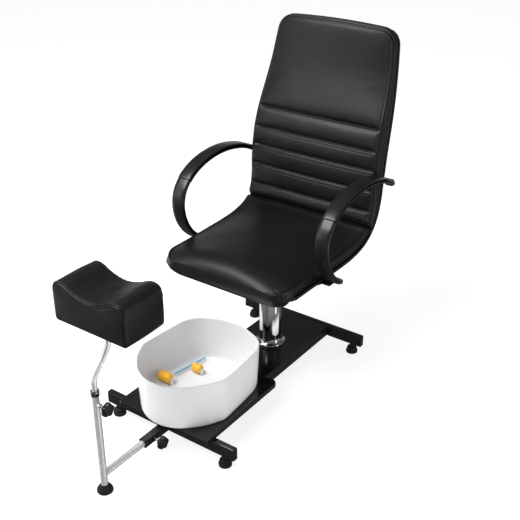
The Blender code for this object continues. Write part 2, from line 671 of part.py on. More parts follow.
def height_lever():
    """A bent rod out of the bracket's side, with a paddle grip, that releases the gas lift."""
    x, y, z = LEVER_PIVOT
    path = [Vector((x + 0.020, y, z)), Vector((x - 0.050, y, z)), Vector((x - 0.110, y, z - 0.002)),
            Vector((x - 0.150, y, z - 0.010))]
    rod = tube_along(path, 0.0040, 10)
    finish("height_lever", rod, ZINC_STEEL, LEVER)
    start = path[-1] + Vector((-0.0018, 0, 0))
    rings = []
    for along, wide, thick in ((0.000, 0.012, 0.010), (0.004, 0.016, 0.012), (0.022, 0.022, 0.011),
                               (0.046, 0.026, 0.009), (0.056, 0.022, 0.008), (0.061, 0.012, 0.005)):
        outline = rounded_box_outline(wide, thick, thick * 0.45, 3)
        rings.append([start + Vector((-along, p.x, p.y - along * 0.25)) for p in outline])
    finish("lever_grip", loft(rings), BLACK_PLASTIC, LEVER)


def tube_along(path, radius, steps):
    """A round bar through a 3D path, with square ends, kept upright by a fixed side direction."""
    rings = []
    for i, place in enumerate(path):
        along = (path[min(i + 1, len(path) - 1)] - path[max(i - 1, 0)]).normalized()
        helper = Vector((0, 0, 1)) if abs(along.z) < 0.9 else Vector((1, 0, 0))
        side = along.cross(helper).normalized()
        up = side.cross(along)
        rings.append([place + side * (radius * math.cos(2 * math.pi * k / steps))
                      + up * (radius * math.sin(2 * math.pi * k / steps)) for k in range(steps)])
    return loft(rings)


seat_bracket()
height_lever()


# ---------------------------------------------------------------- armrests
# The middle line of the band, as (Y from the column, Z), from its upper end at the back to its lower end.
ARM_PATH = [(0.314, 0.622), (0.286, 0.637), (0.240, 0.660), (0.180, 0.681), (0.105, 0.694), (0.035, 0.693),
            (-0.030, 0.680), (-0.083, 0.655), (-0.119, 0.620), (-0.134, 0.578), (-0.131, 0.535),
            (-0.115, 0.492), (-0.089, 0.455), (-0.058, 0.428), (-0.022, 0.408)]
ARM_STEPS = 30
PAD_START, PAD_END = 0.15, 0.60                 # the soft pad's stretch of the band, as fractions
PAD_STEP = 0.0085                               # depth of the step that the pad sits in
ARM_SCREW_Y, ARM_SCREW_Z = COLUMN_Y + 0.303, 0.629
FOOT_BOLTS = (-0.052, -0.022)                   # bolts of each arm's foot, along Y from the column
FOOT_BOLT_X = 0.160
FOOT_TOP = 0.3836                               # the foot's top at the bolts, just below the shell


def arm_stations():
    """(fraction, place, outward normal, half width) along the band, which narrows at both ends."""
    points = resampled(ARM_PATH, ARM_STEPS)
    out = []
    for k, place in enumerate(points):
        along = (points[min(k + 1, ARM_STEPS)] - points[max(k - 1, 0)]).normalized()
        f = k / ARM_STEPS
        swell = smoothstep((f + 0.02) / 0.17) * smoothstep((1.08 - f) / 0.16)
        out.append((f, place, Vector((along.y, -along.x)), 0.0130 + 0.0115 * swell))
    return out


def arm_ring(station, side, low, high):
    """A rounded cross-section of the band, between two offsets along its outward normal."""
    _, place, normal, half = station
    middle_x = side * (ARM_INNER_X + half)
    outline = rounded_box_outline(2 * half, high - low, min(0.0060, (high - low) * 0.42), 2)
    ring = []
    for p in outline:
        offset = (low + high) / 2 + p.y
        ring.append(Vector((middle_x + side * p.x, COLUMN_Y + place.x + normal.x * offset,
                            place.y + normal.y * offset)))
    return ring


def armrest(side_name, side):
    """The moulded loop. Its pad sits in a step, its upper end meets the back and its foot hugs the shell."""
    rings = []
    half_thick = ARM_THICKNESS / 2
    for station in arm_stations():
        padded = PAD_START <= station[0] <= PAD_END
        rings.append(arm_ring(station, side, -half_thick, half_thick - (PAD_STEP if padded else 0.0)))
    made = finish(side_name + "_armrest", loft(rings), BLACK_PLASTIC, SEAT)
    boss = revolve([(0.0105, 0.2512), (0.0120, 0.2526), (0.0120, 0.2730), (0.0108, 0.2745)],
                   (0, ARM_SCREW_Y, ARM_SCREW_Z), "X", 24)
    for point in boss.verts:
        point.co.x *= side
    boolean(made, cutter("add_" + side_name + "_arm_boss", boss), "UNION")
    rings = []
    foot_length, foot_thick = 0.056, 0.0070
    for x in (0.148, 0.168, 0.186, 0.202, 0.216, 0.228, 0.238, 0.247, 0.256, 0.265):
        top = FOOT_TOP + dish(min(x, 0.238), 0.170)
        outline = rounded_box_outline(foot_length, foot_thick, 0.0020, 1)
        outline = shifted(outline, COLUMN_Y + sum(FOOT_BOLTS) / 2, top - foot_thick / 2)
        rings.append([Vector((side * x, p.x, p.y)) for p in outline])
    boolean(made, cutter("add_" + side_name + "_arm_foot", loft(rings)), "UNION")
    counterbore = 0.0078
    profile = [(THREAD_RADIUS, 0.245), (THREAD_RADIUS, 0.2750), (counterbore, 0.2750), (counterbore, 0.310)]
    hole = revolve(profile, (0, ARM_SCREW_Y, ARM_SCREW_Z), "X", 12)
    for point in hole.verts:
        point.co.x *= side
    boolean(made, cutter("cut_" + side_name + "_arm_screw", hole))
    for k, y in enumerate(FOOT_BOLTS):
        place = (side * FOOT_BOLT_X, COLUMN_Y + y, 0)
        hole = revolve([(THREAD_RADIUS, 0.370), (THREAD_RADIUS, 0.420)], place, steps=12)
        boolean(made, cutter("cut_" + side_name + "_foot_bolt_" + str(k), hole))
    return made


def arm_pad(side_name, side):
    """The soft pad on the upper stretch of the loop."""
    rings = []
    inner = [s for s in arm_stations() if PAD_START < s[0] < PAD_END]
    for k, station in enumerate(inner):
        high = ARM_THICKNESS / 2 - (0.0015 if k in (0, len(inner) - 1) else 0.0)
        rings.append(arm_ring(station, side, ARM_THICKNESS / 2 - PAD_STEP + 0.0004, high))
    return finish(side_name + "_arm_pad", loft(rings), BLACK_PLASTIC, SEAT)


def arm_screw(side_name, side):
    """The bright screw through the boss at the arm's upper end, into the back's side."""
    profile = [(0.0030, 0.2514), (0.0030, 0.2753), (0.0070, 0.2753), (0.0070, 0.2780), (0.0052, 0.2798)]
    mesh = revolve(profile, (0, ARM_SCREW_Y, ARM_SCREW_Z), "X", 14)
    for point in mesh.verts:
        point.co.x *= side
    return finish(side_name + "_arm_screw", mesh, ZINC_STEEL, SEAT)


def foot_bolt(name, x, y):
    """A hexagon bolt from below, through the arm's foot, up to the shell."""
    mesh = revolve([(0.0052, 0.3715), (0.0058, 0.3720), (0.0058, 0.3762), (0.0028, 0.3762), (0.0028, 0.3838)],
                   (x, COLUMN_Y + y, 0), steps=6)
    return finish(name, mesh, ZINC_STEEL, SEAT)


for side_name, side in (("left", 1), ("right", -1)):
    armrest(side_name, side)
    arm_pad(side_name, side)
    arm_screw(side_name, side)
    for end_name, y in zip(("front", "rear"), FOOT_BOLTS):
        foot_bolt(side_name + "_arm_" + end_name + "_bolt", side * FOOT_BOLT_X, y)


# ---------------------------------------------------------------- leg-rest strut, leg and knobs
def strut():
    """The strut slides in the sleeve and is coped to the upright leg."""
    r = LEG_RADIUS - 0.0001
    start, end = LEG_Y + 0.004, COLUMN_Y - 0.420
    tube = revolve([(r, start), (r, end - 0.001), (r - 0.001, end)], (0, 0, STRUT_Z), "Y", 24)
    made = finish("strut_tube", tube, CHROME, STRUT)
    cope = revolve([(LEG_RADIUS + GAP, 0.02), (LEG_RADIUS + GAP, 0.10)], (0, LEG_Y, 0), steps=28)
    boolean(made, cutter("cut_strut_cope", cope))


def leg():
    """The hollow leg with its rubber foot below, its bush above and a boss for the height knob."""
    r, b = LEG_RADIUS, LEG_BORE
    tube = [(r, 0.0080), (r, LEG_TOP), (b, LEG_TOP), (b, 0.0900), (0.0040, 0.0880), (0.0040, 0.0080)]
    made = finish("upright_leg", revolve(tube, (0, LEG_Y, 0), steps=20, loop=True), CHROME, STRUT)
    profile = [(0.0072, r - 0.0012), (0.0072, r + 0.0060), (0.0064, r + 0.0068)]
    boss = revolve(profile, (0, LEG_Y, UPPER_KNOB_Z), "X", 16)
    boolean(made, cutter("add_leg_boss", boss), "UNION")
    thread = revolve([(THREAD_RADIUS, 0.0070), (THREAD_RADIUS, 0.03)], (0, LEG_Y, UPPER_KNOB_Z), "X", 12)
    boolean(made, cutter("cut_leg_thread", thread))
    bore = POST_RADIUS + GAP
    bush = [(r + 0.0022, LEG_TOP - 0.0120), (r + 0.0022, LEG_TOP + 0.0030), (r + 0.0012, LEG_TOP + 0.0042),
            (bore, LEG_TOP + 0.0042), (bore, LEG_TOP + GAP), (r + GAP, LEG_TOP + GAP),
            (r + GAP, LEG_TOP - 0.0120)]
    finish("leg_bush", revolve(bush, (0, LEG_Y, 0), steps=20, loop=True), BLACK_PLASTIC, STRUT)
    carrier = body("leg_glide_axis", (0, LEG_Y, 0.0), STRUT)
    g = 0.0235
    foot = [(g - 0.0020, 0.0), (g, 0.0018), (g, 0.0060), (g - 0.0016, 0.0110), (g - 0.0050, 0.0165),
            (g - 0.0090, 0.0215), (r + 0.0022, 0.0250), (r + GAP, 0.0252), (r + GAP, 0.0076),
            (0.0060, 0.0076), (0.0060, 0.0)]
    finish("leg_glide", revolve(foot, (0, LEG_Y, 0), steps=18, loop=True), BLACK_RUBBER, carrier)


def lobed_knob(name, carrier, at, screw_from):
    """A five-lobed clamping knob on a threaded stud, both on an axis along X."""
    rings = []
    count = 25
    for along, size in ((0.0, 0.60), (0.0040, 0.88), (0.0070, 0.99), (0.0140, 1.0), (0.0180, 0.93),
                        (0.0205, 0.78), (0.0216, 0.45)):
        ring = []
        for k in range(count):
            turn = 2 * math.pi * k / count
            lobe = 1 + 0.085 * math.cos(5 * turn) * min(1.0, max(0.0, (size - 0.55) / 0.3))
            radius = KNOB_RADIUS * size * lobe / 1.085
            ring.append(Vector(at) + Vector((along, radius * math.cos(turn), radius * math.sin(turn))))
        rings.append(ring)
    finish(name, loft(rings), BLACK_PLASTIC, carrier, 50.0)
    stud = revolve([(0.0022, screw_from), (0.0031, screw_from + 0.001), (0.0031, at[0] - GAP)],
                   (0, at[1], at[2]), "X", 12)
    finish(name + "_stud", stud, ZINC_STEEL, carrier)


def post():
    """The S-bent post turns and slides in the leg. A plug guides its foot and a plate carries the cushion."""
    lower_bend, upper_bend, bend_steps = 0.3720, 0.4720, 12
    rise = [Vector((0, LEG_Y, 0.1600)), Vector((0, LEG_Y, lower_bend))]
    for k in range(1, bend_steps + 1):
        f = k / bend_steps
        y = LEG_Y + (POST_TOP_Y - LEG_Y) * smoothstep(f)
        rise.append(Vector((0, y, lower_bend + (upper_bend - lower_bend) * f)))
    rise.append(Vector((0, POST_TOP_Y, CUSHION_BOTTOM - 0.0095)))
    finish("footrest_post", tube_along(rise, POST_RADIUS, 16), CHROME, POST)
    plug = [(POST_RADIUS - 0.001, 0.1450), (POST_RADIUS + 0.0001, 0.1460), (POST_RADIUS + 0.0001, 0.1586),
            (POST_RADIUS - 0.001, 0.1596)]
    finish("post_plug", revolve(plug, (0, LEG_Y, 0), steps=16), BLACK_PLASTIC, POST_PLUG)
    plate = corner_outline([(-0.060, -0.050, 0.010), (0.060, -0.050, 0.010), (0.060, 0.050, 0.010),
                            (-0.060, 0.050, 0.010)], 4)
    plate = shifted(plate, 0, (CUSHION_FRONT_Y + CUSHION_REAR_Y) / 2)
    low, high = CUSHION_BOTTOM - 0.0035, CUSHION_BOTTOM - 0.0005
    made = finish("footrest_plate", loft([flat_ring(plate, low), flat_ring(plate, high)]), BLACK_STEEL, POST)
    collar_radius = 0.0150
    profile = [(collar_radius, CUSHION_BOTTOM - 0.0200), (collar_radius, CUSHION_BOTTOM - 0.0020)]
    collar = revolve(profile, (0, POST_TOP_Y, 0), steps=24)
    boolean(made, cutter("add_plate_collar", collar), "UNION")
    bore = POST_RADIUS + GAP
    seat_hole = revolve([(bore, CUSHION_BOTTOM - 0.03), (bore, CUSHION_BOTTOM - 0.0090)], (0, POST_TOP_Y, 0),
                        steps=20)
    boolean(made, cutter("cut_plate_seat", seat_hole))


def footrest_cushion():
    """A block with a valley along Y for the calf, two rounded horns and drawn-in sides."""
    rings = []
    count, depth = 14, CUSHION_REAR_Y - CUSHION_FRONT_Y
    columns = 16
    for k in range(count + 1):
        f = k / count
        y = CUSHION_FRONT_Y + depth * (0.5 - 0.5 * math.cos(math.pi * f)) * 0.6 + depth * f * 0.4
        edge = min(y - CUSHION_FRONT_Y, CUSHION_REAR_Y - y)
        trim = corner_trim(edge + 0.0012, 0.011)
        bulge = 0.0025 * math.sin(math.pi * f)
        half = CUSHION_HALF_WIDTH - trim + bulge
        ring = []
        for i in range(columns + 1):
            u = math.sin(math.pi / 2 * (-1 + 2 * i / columns))
            valley = 0.5 + 0.5 * math.cos(math.pi * min(1.0, abs(u) / 0.74))
            z = CUSHION_HORN - (CUSHION_HORN - CUSHION_VALLEY) * valley
            z -= 0.014 * smoothstep((abs(u) - 0.86) / 0.14) + trim * 0.9
            ring.append(Vector((half * u, y, z)))
        side_high, side_low = CUSHION_HORN - 0.030, CUSHION_BOTTOM + 0.010
        for f_side in (0.0, 0.5, 1.0):
            z = side_high + (side_low - side_high) * f_side
            ring.append(Vector((half + 0.0020 + 0.0020 * math.sin(math.pi * f_side), y, z)))
        ring.append(Vector((half - 0.003, y, CUSHION_BOTTOM + 0.002 + trim * 0.4)))
        for i in range(1, 6):
            ring.append(Vector(((half - 0.008) * (1 - 2 * i / 6), y, CUSHION_BOTTOM + trim * 0.4)))
        ring.append(Vector((-half + 0.003, y, CUSHION_BOTTOM + 0.002 + trim * 0.4)))
        for f_side in (1.0, 0.5, 0.0):
            z = side_high + (side_low - side_high) * f_side
            ring.append(Vector((-half - 0.0020 - 0.0020 * math.sin(math.pi * f_side), y, z)))
        rings.append(ring)
    return finish("footrest_cushion", loft(rings), BLACK_LEATHER, POST, 50.0)


strut()
leg()
lobed_knob("strut_knob", LOWER_KNOB, (0.0340, LOWER_KNOB_Y, STRUT_Z), 0.0112)
lobed_knob("height_knob", UPPER_KNOB, (0.0310, LEG_Y, UPPER_KNOB_Z), 0.0092)
post()
footrest_cushion()


# ---------------------------------------------------------------- foot basin and its rollers
FLOOR = BASIN_BOTTOM + BASIN_WALL
ROLLER_CLEARANCE = 0.006                        # between the rollers and the tub's floor
PIN_RADIUS = 0.0025
OUTLINE_STEPS = 17                              # points on each side of the tub's outline
# Name, place from the middle of the tub, half length and radius of each roller.
ROLLERS = [("front_roller", -0.113, -0.021, 0.0215, 0.0150), ("rear_roller", -0.064, 0.078, 0.0150, 0.0130)]


def basin_outline():
    """Plan of the tub: a smooth closed curve, round in front, nearly straight at the sides and the rear."""
    half = [(0.000, -0.205), (0.048, -0.196), (0.092, -0.170), (0.132, -0.126), (0.156, -0.082),
            (0.163, -0.060), (0.160, 0.000), (0.155, 0.060), (0.148, 0.112), (0.132, 0.148), (0.104, 0.172),
            (0.072, 0.186), (0.044, 0.195), (0.000, 0.199)]
    mirrored = [(-x, y) for x, y in reversed(half[1:-1])]
    right = resampled([mirrored[-1]] + half + [mirrored[0]], 3 * OUTLINE_STEPS)
    kept = [p for p in right if p.x > 0.0]
    spaced = [kept[round(k * (len(kept) - 1) / (OUTLINE_STEPS - 1))] for k in range(OUTLINE_STEPS)]
    ends = [Vector(half[0]), Vector(half[-1])]
    points = ends[:1] + spaced + ends[1:] + [Vector((-p.x, p.y)) for p in reversed(spaced)]
    return [Vector((p.x, p.y + BASIN_Y)) for p in points]


def basin():
    """The foot tub: a wall with a slight draft and a rounded rim, and on its floor the rollers' lugs."""
    rings = []
    wall, draft = BASIN_WALL, 0.007
    low, top = BASIN_BOTTOM, BASIN_TOP
    for inward, z in ((draft + 0.006, low), (draft + 0.001, low + 0.004), (draft - 0.0005, low + 0.012),
                      (0.0005, top - 0.010), (0.0, top - 0.0030), (0.0014, top - 0.0004),
                      (0.0042, top - 0.0004), (0.0054, top - 0.0035), (wall + 0.0005, top - 0.012),
                      (draft + wall, low + 0.018), (draft + wall + 0.003, low + 0.008),
                      (draft + wall + 0.010, low + wall)):
        rings.append(flat_ring(inset(basin_outline(), inward), z))
    made = finish("foot_basin", loft(rings), WHITE_PLASTIC, BASIN, 55.0)
    for name, x, y, half, radius in ROLLERS:
        z = FLOOR + radius + ROLLER_CLEARANCE
        for end in (-1, 1):
            foot, crest = BASIN_BOTTOM + 0.0015, z + 0.0060
            lug = corner_outline([(-0.010, foot, 0.001), (0.010, foot, 0.001),
                                  (0.0065, crest, 0.0040), (-0.0065, crest, 0.0040)], 2)
            start = x + end * (half + 0.0008)
            mesh = prism(shifted(lug, BASIN_Y + y, 0), "X", min(start, start + end * 0.0035),
                         max(start, start + end * 0.0035))
            boolean(made, cutter("add_" + name + ("_left_lug" if end > 0 else "_right_lug"), mesh), "UNION")
        hole = revolve([(PIN_RADIUS + GAP, x - half - 0.012), (PIN_RADIUS + GAP, x + half + 0.012)],
                       (0, BASIN_Y + y, z), "X", 12)
        boolean(made, cutter("cut_" + name + "_holes", hole))
    return made


def massage_roller(name, x, y, half, radius):
    """A barrel-shaped ribbed roller that turns on a steel pin between two lugs on the tub's floor."""
    place = (x, BASIN_Y + y, FLOOR + radius + ROLLER_CLEARANCE)
    carrier = body(name + "_axis", place, BASIN)
    bore = PIN_RADIUS + GAP
    profile = [(bore, -half), (radius * 0.66, -half), (radius * 0.80, -half + 0.0015)]
    ribs = 3
    for k in range(ribs):
        middle = (k - 1) * half * 0.60
        bulge = radius * (1 - 0.10 * abs(k - 1))
        width = half * 0.19
        profile += [(bulge * 0.88, middle - width * 1.25), (bulge, middle - width * 0.7),
                    (bulge, middle + width * 0.7), (bulge * 0.88, middle + width * 1.25)]
    profile += [(radius * 0.80, half - 0.0015), (radius * 0.66, half), (bore, half)]
    finish(name, revolve(profile, place, "X", 12, loop=True), ORANGE_PLASTIC, carrier)
    pin = revolve([(PIN_RADIUS, -half - 0.0040), (PIN_RADIUS, half + 0.0040)], place, "X", 10)
    finish(name + "_pin", pin, ZINC_STEEL, BASIN)


def massage_bar():
    """A raised rib on the tub's floor beside the rollers."""
    start, end = Vector((-0.108, 0.015)), Vector((-0.086, 0.148))
    along = (end - start).normalized()
    side = Vector((-along.y, along.x))
    rings = []
    for f, grow in ((0.0, 0.55), (0.02, 0.9), (0.06, 1.0), (0.94, 1.0), (0.98, 0.9), (1.0, 0.55)):
        place = start.lerp(end, f)
        outline = [(math.cos(math.radians(a)) * 0.0050 * grow, math.sin(math.radians(a)) * 0.0150 * grow)
                   for a in (0, 30, 60, 90, 120, 150, 180)]
        rings.append([Vector((place.x + side.x * w, BASIN_Y + place.y + side.y * w, FLOOR + GAP + h))
                      for w, h in outline])
    finish("massage_bar", loft(rings), TEAL_PLASTIC, BASIN)


basin()
massage_bar()
for roller in ROLLERS:
    massage_roller(*roller)
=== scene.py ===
"""Pedicure spa chair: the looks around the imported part. Metres, +Z up, the sitter faces -Y."""
import math

import bmesh
import bpy
import numpy as np
from mathutils import Matrix


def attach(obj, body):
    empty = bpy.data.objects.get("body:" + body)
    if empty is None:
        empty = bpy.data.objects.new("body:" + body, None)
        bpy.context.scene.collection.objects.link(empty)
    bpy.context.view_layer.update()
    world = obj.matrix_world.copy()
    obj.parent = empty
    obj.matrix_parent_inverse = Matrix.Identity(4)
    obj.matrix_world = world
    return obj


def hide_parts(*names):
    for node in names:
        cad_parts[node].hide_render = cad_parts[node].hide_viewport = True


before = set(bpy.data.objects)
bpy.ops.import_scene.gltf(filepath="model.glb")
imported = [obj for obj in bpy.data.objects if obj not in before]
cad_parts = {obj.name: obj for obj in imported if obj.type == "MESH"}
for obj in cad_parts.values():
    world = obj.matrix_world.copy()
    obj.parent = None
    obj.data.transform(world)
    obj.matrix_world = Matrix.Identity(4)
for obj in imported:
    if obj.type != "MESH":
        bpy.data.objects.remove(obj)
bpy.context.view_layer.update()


# ---------------------------------------------------------------- studio
# A pale matt floor and a white wall under three softboxes, seen from the photograph's place. The camera's
# height, turn and lens come from the chair's vanishing lines.
CAMERA_PLACE = (1.4653, -1.9057, 1.7400)
CAMERA_TURN, CAMERA_DIP = math.radians(35.42), math.radians(27.64)
SENSOR, FOCAL_PIXELS, PHOTO_PIXELS = 36.0, 877.62, 520.0

camera_data = bpy.data.cameras.new("camera")
camera_data.sensor_width = SENSOR
camera_data.lens = SENSOR * FOCAL_PIXELS / PHOTO_PIXELS
camera = bpy.data.objects.new("camera", camera_data)
camera.location = CAMERA_PLACE
camera.rotation_euler = (math.pi / 2 - CAMERA_DIP, 0.0, CAMERA_TURN)
bpy.context.scene.collection.objects.link(camera)
bpy.context.scene.camera = camera


def soft_light(name, place, aim, size, power):
    """An oblong softbox at a place, turned to face its aim."""
    lamp = bpy.data.lights.new(name, "AREA")
    lamp.shape = "RECTANGLE"
    lamp.size, lamp.size_y = size
    lamp.energy = power
    made = bpy.data.objects.new(name, lamp)
    bpy.context.scene.collection.objects.link(made)
    ahead = np.subtract(aim, place)
    ahead = ahead / np.linalg.norm(ahead)
    side = np.cross(ahead, (0.0, 0.0, 1.0))
    side = side / np.linalg.norm(side)
    turned = Matrix.Identity(4)
    for row in range(3):
        turned[row][0], turned[row][1] = side[row], np.cross(side, ahead)[row]
        turned[row][2], turned[row][3] = -ahead[row], place[row]
    made.matrix_world = turned


soft_light("overhead_softbox", (-0.9, -1.4, 3.0), (0.0, -0.1, 0.5), (2.2, 1.6), 120.0)
soft_light("front_softbox", (-2.2, -2.6, 1.7), (0.0, 0.0, 0.6), (1.8, 2.2), 26.0)
soft_light("edge_softbox", (2.7, 0.1, 0.9), (0.1, 0.2, 0.7), (0.5, 2.4), 14.0)


def add(tree, kind, settings=None, **choices):
    """A shader node. Settings fill its inputs by name: a value is set and a socket is linked."""
    made = tree.nodes.new("ShaderNode" + kind)
    for name, value in choices.items():
        setattr(made, name, value)
    for name, value in (settings or {}).items():
        if isinstance(value, bpy.types.NodeSocket):
            tree.links.new(value, made.inputs[name])
        else:
            made.inputs[name].default_value = value
    return made


def base_finish(name, colour, **sockets):
    """A Principled material of one colour, and its tree, shader and Object coordinates."""
    made = bpy.data.materials.new(name)
    made.use_nodes = True
    tree = made.node_tree
    shader = tree.nodes["Principled BSDF"]
    shader.inputs["Base Color"].default_value = (*colour, 1.0)
    for socket, value in sockets.items():
        shader.inputs[socket.replace("_", " ")].default_value = value
    place = add(tree, "TexCoord").outputs["Object"]
    return made, tree, shader, place


def between(tree, factor, low, high, start=0.0, end=1.0):
    """A number that runs from low to high as a factor runs from start to end."""
    return add(tree, "MapRange", {"Value": factor, "From Min": start, "From Max": end, "To Min": low,
                                  "To Max": high}).outputs["Result"]


def noise(tree, place, scale, detail):
    """A noise over Object coordinates, from 0 to 1."""
    return add(tree, "TexNoise", {"Vector": place, "Scale": scale, "Detail": detail}).outputs["Fac"]


def varied(tree, shader, factor, colours, shine):
    """Let a factor run the roughness over its range, and the colour too where there are two."""
    tree.links.new(between(tree, factor, *shine), shader.inputs["Roughness"])
    if len(colours) == 2:
        tint = add(tree, "MixRGB", {"Fac": factor, "Color1": (*colours[0], 1.0), "Color2": (*colours[1], 1.0)})
        tree.links.new(tint.outputs["Color"], shader.inputs["Base Color"])


def finish(name, colours, shine, pattern, grain=None, **sockets):
    """A Principled finish. A broad noise, pattern = (scale, detail), varies it between two colours, or keeps to
    one, and between two roughnesses. A fine one, grain = (scale, detail, strength, depth), raises the
    surface."""
    made, tree, shader, place = base_finish(name, colours[0], **sockets)
    varied(tree, shader, noise(tree, place, *pattern), colours, shine)
    if grain:
        scale, detail, strength, depth = grain
        bump = add(tree, "Bump", {"Height": noise(tree, place, scale, detail), "Strength": strength,
                                  "Distance": depth})
        tree.links.new(bump.outputs["Normal"], shader.inputs["Normal"])
    return made


# What the gloss sees of the room: brightest at eye level, dark halfway down and halfway up, and grey
# overhead, as in a studio with low white walls, and a white card low down at either side, which draws the
# bright streaks on the chromed column.
ROOM_TONES = ((0.0, 0.16), (0.27, 0.09), (0.37, 0.24), (0.44, 0.56), (0.50, 0.66), (0.57, 0.50), (0.68, 0.17),
              (0.75, 0.15), (0.90, 0.32), (1.0, 0.42))
CARD_GLOW = 15.0
world = bpy.data.worlds.new("studio")
world.use_nodes = True
tree = world.node_tree
backing = tree.nodes["Background"]
heading = add(tree, "SeparateXYZ", {"Vector": add(tree, "TexCoord").outputs["Generated"]})
height, side = heading.outputs["Z"], heading.outputs["X"]
glow = add(tree, "ValToRGB", {"Fac": between(tree, height, 0.0, 1.0, -1.0)})
stops = glow.color_ramp.elements
for place, value in ROOM_TONES:
    stop = stops[0] if place == 0.0 else stops[-1] if place == 1.0 else stops.new(place)
    stop.color = (value, value, value, 1.0)
tree.links.new(glow.outputs["Color"], backing.inputs["Color"])
aside = between(tree, add(tree, "Math", {0: side}, operation="ABSOLUTE").outputs[0], 0.0, 1.0, 0.72, 0.80)
under = between(tree, height, 0.0, 1.0, -0.22, -0.34)
cards = add(tree, "Math", {0: aside, 1: under}, operation="MULTIPLY").outputs[0]
tree.links.new(between(tree, cards, 1.0, CARD_GLOW), backing.inputs["Strength"])
bpy.context.scene.world = world
bpy.context.scene.view_settings.view_transform = "Standard"

floor_paint = finish("floor_paint", [(0.42, 0.42, 0.42)], (0.86, 0.94), (3.0, 4.0), Emission_Strength=0.82,
                     Emission_Color=(1.0, 1.0, 1.0, 1.0))
wall_paint = base_finish("wall_paint", (0.0, 0.0, 0.0), Roughness=0.9, Emission_Strength=1.02,
                         Emission_Color=(1.0, 1.0, 1.0, 1.0))[0]


def full_turn(count):
    """Equally spaced angles once round."""
    return np.linspace(0.0, 2 * np.pi, count, endpoint=False)


FLOOR_REACH, WALL_HEIGHT, FLOOR_SIDES = 14.0, 16.0, 64
around = full_turn(FLOOR_SIDES)
rim = FLOOR_REACH * np.stack([np.cos(around), np.sin(around), 0 * around], axis=-1)
number = np.arange(FLOOR_SIDES)
for name, points, faces, paint in (
        ("studio_floor", rim, [number.tolist()], floor_paint),
        ("studio_wall", np.vstack([rim, rim + (0.0, 0.0, WALL_HEIGHT)]),
         np.stack([number, np.roll(number, -1), np.roll(number, -1) + FLOOR_SIDES, number + FLOOR_SIDES], axis=-1),
         wall_paint)):
    sweep = bpy.data.meshes.new(name)
    sweep.from_pydata(points, [], faces)
    sweep.materials.append(paint)
    backdrop = bpy.data.objects.new(name, sweep)
    bpy.context.scene.collection.objects.link(backdrop)
    backdrop.visible_glossy = False
backdrop.visible_diffuse = backdrop.visible_shadow = False  # the wall is only seen, and lights nothing


# ---------------------------------------------------------------- base frame
# Cross beams of rectangular steel tube, a folded spine and tray on them, and the sleeve for the strut. They
# are welded, then powder-coated gloss black, with a slight orange peel. The brackets under seat and leg rest
# have the same coat.


def dress(look, *names):
    """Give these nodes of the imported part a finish."""
    for name in names:
        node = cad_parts[name]
        for held in node.material_slots:
            held.material = look


powder_coat = finish("powder_coat", [(0.007, 0.007, 0.008), (0.014, 0.014, 0.015)], (0.06, 0.17), (9.0, 5.0),
                     (420.0, 2.0, 0.04, 0.0004), Specular_IOR_Level=0.42)
dress(powder_coat, "front_beam", "rear_beam", "base_spine", "strut_sleeve", "foot_tray", "seat_bracket",
      "footrest_plate", "gas_cylinder")


# ---------------------------------------------------------------- caps and glides
# Moulded black caps close the ends of the beams. Ribbed rubber glides on threaded stems level the base. The
# plastic's mould was spark-eroded, which leaves a fine even grain, and the rubber has a matt, slightly dusty
# skin.
moulded_black = finish("moulded_black", [(0.009, 0.009, 0.010)], (0.34, 0.46), (22.0, 4.0),
                       (1500.0, 2.0, 0.18, 0.0002), Specular_IOR_Level=0.26)
dress(moulded_black, "front_left_cap", "front_right_cap", "rear_left_cap", "rear_right_cap", "lever_grip",
      "post_plug")

glide_rubber = finish("glide_rubber", [(0.007, 0.007, 0.007), (0.017, 0.017, 0.016)], (0.50, 0.75), (60.0, 5.0),
                      (60.0, 5.0, 0.15, 0.0004), Specular_IOR_Level=0.2)
COLUMN_Y = 0.2171


def formed(name, points, faces, merged=False, lay=None):
    """An object from points and faces, its normals outward and, if merged, its doubles merged. lay is a table
    of three numbers per point that stays in the mesh as an attribute."""
    mesh = bpy.data.meshes.new(name)
    mesh.from_pydata(points[:, :3], [], faces)
    if lay is not None:
        mesh.attributes.new("lay", "FLOAT_VECTOR", "POINT").data.foreach_set("vector", lay.ravel())
    shape = bmesh.new()
    shape.from_mesh(mesh)
    if merged:
        bmesh.ops.remove_doubles(shape, verts=shape.verts, dist=0.000002)
        bmesh.ops.dissolve_degenerate(shape, edges=shape.edges, dist=0.000001)
    bmesh.ops.recalc_face_normals(shape, faces=shape.faces)
    shape.to_mesh(mesh)
    shape.free()
    made = bpy.data.objects.new(name, mesh)
    bpy.context.scene.collection.objects.link(made)
    return made


def skinned(name, points, faces, look, body, slot, stands_for=(), lay=None, sharp=None):
    """A finished piece in a look, smooth but for edges sharper than an angle in degrees, riding its body."""
    made = formed(name, points, faces, True, lay)
    made.data.shade_smooth()
    if sharp is not None:
        made.data.set_sharp_from_angle(angle=math.radians(sharp))
    made.data.materials.append(look)
    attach(made, body)
    if stands_for:
        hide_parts(*stands_for)
    return made


def upright(profile, y, x=0.0, count=96):
    """Rings of a profile of (radius, height) turned about the upright line through (x, y)."""
    turn = full_turn(count)
    radius, height = (np.array(values)[:, None] for values in zip(*profile))
    return np.stack([x + radius * np.cos(turn), y + radius * np.sin(turn), np.repeat(height, count, axis=1)],
                    axis=-1)


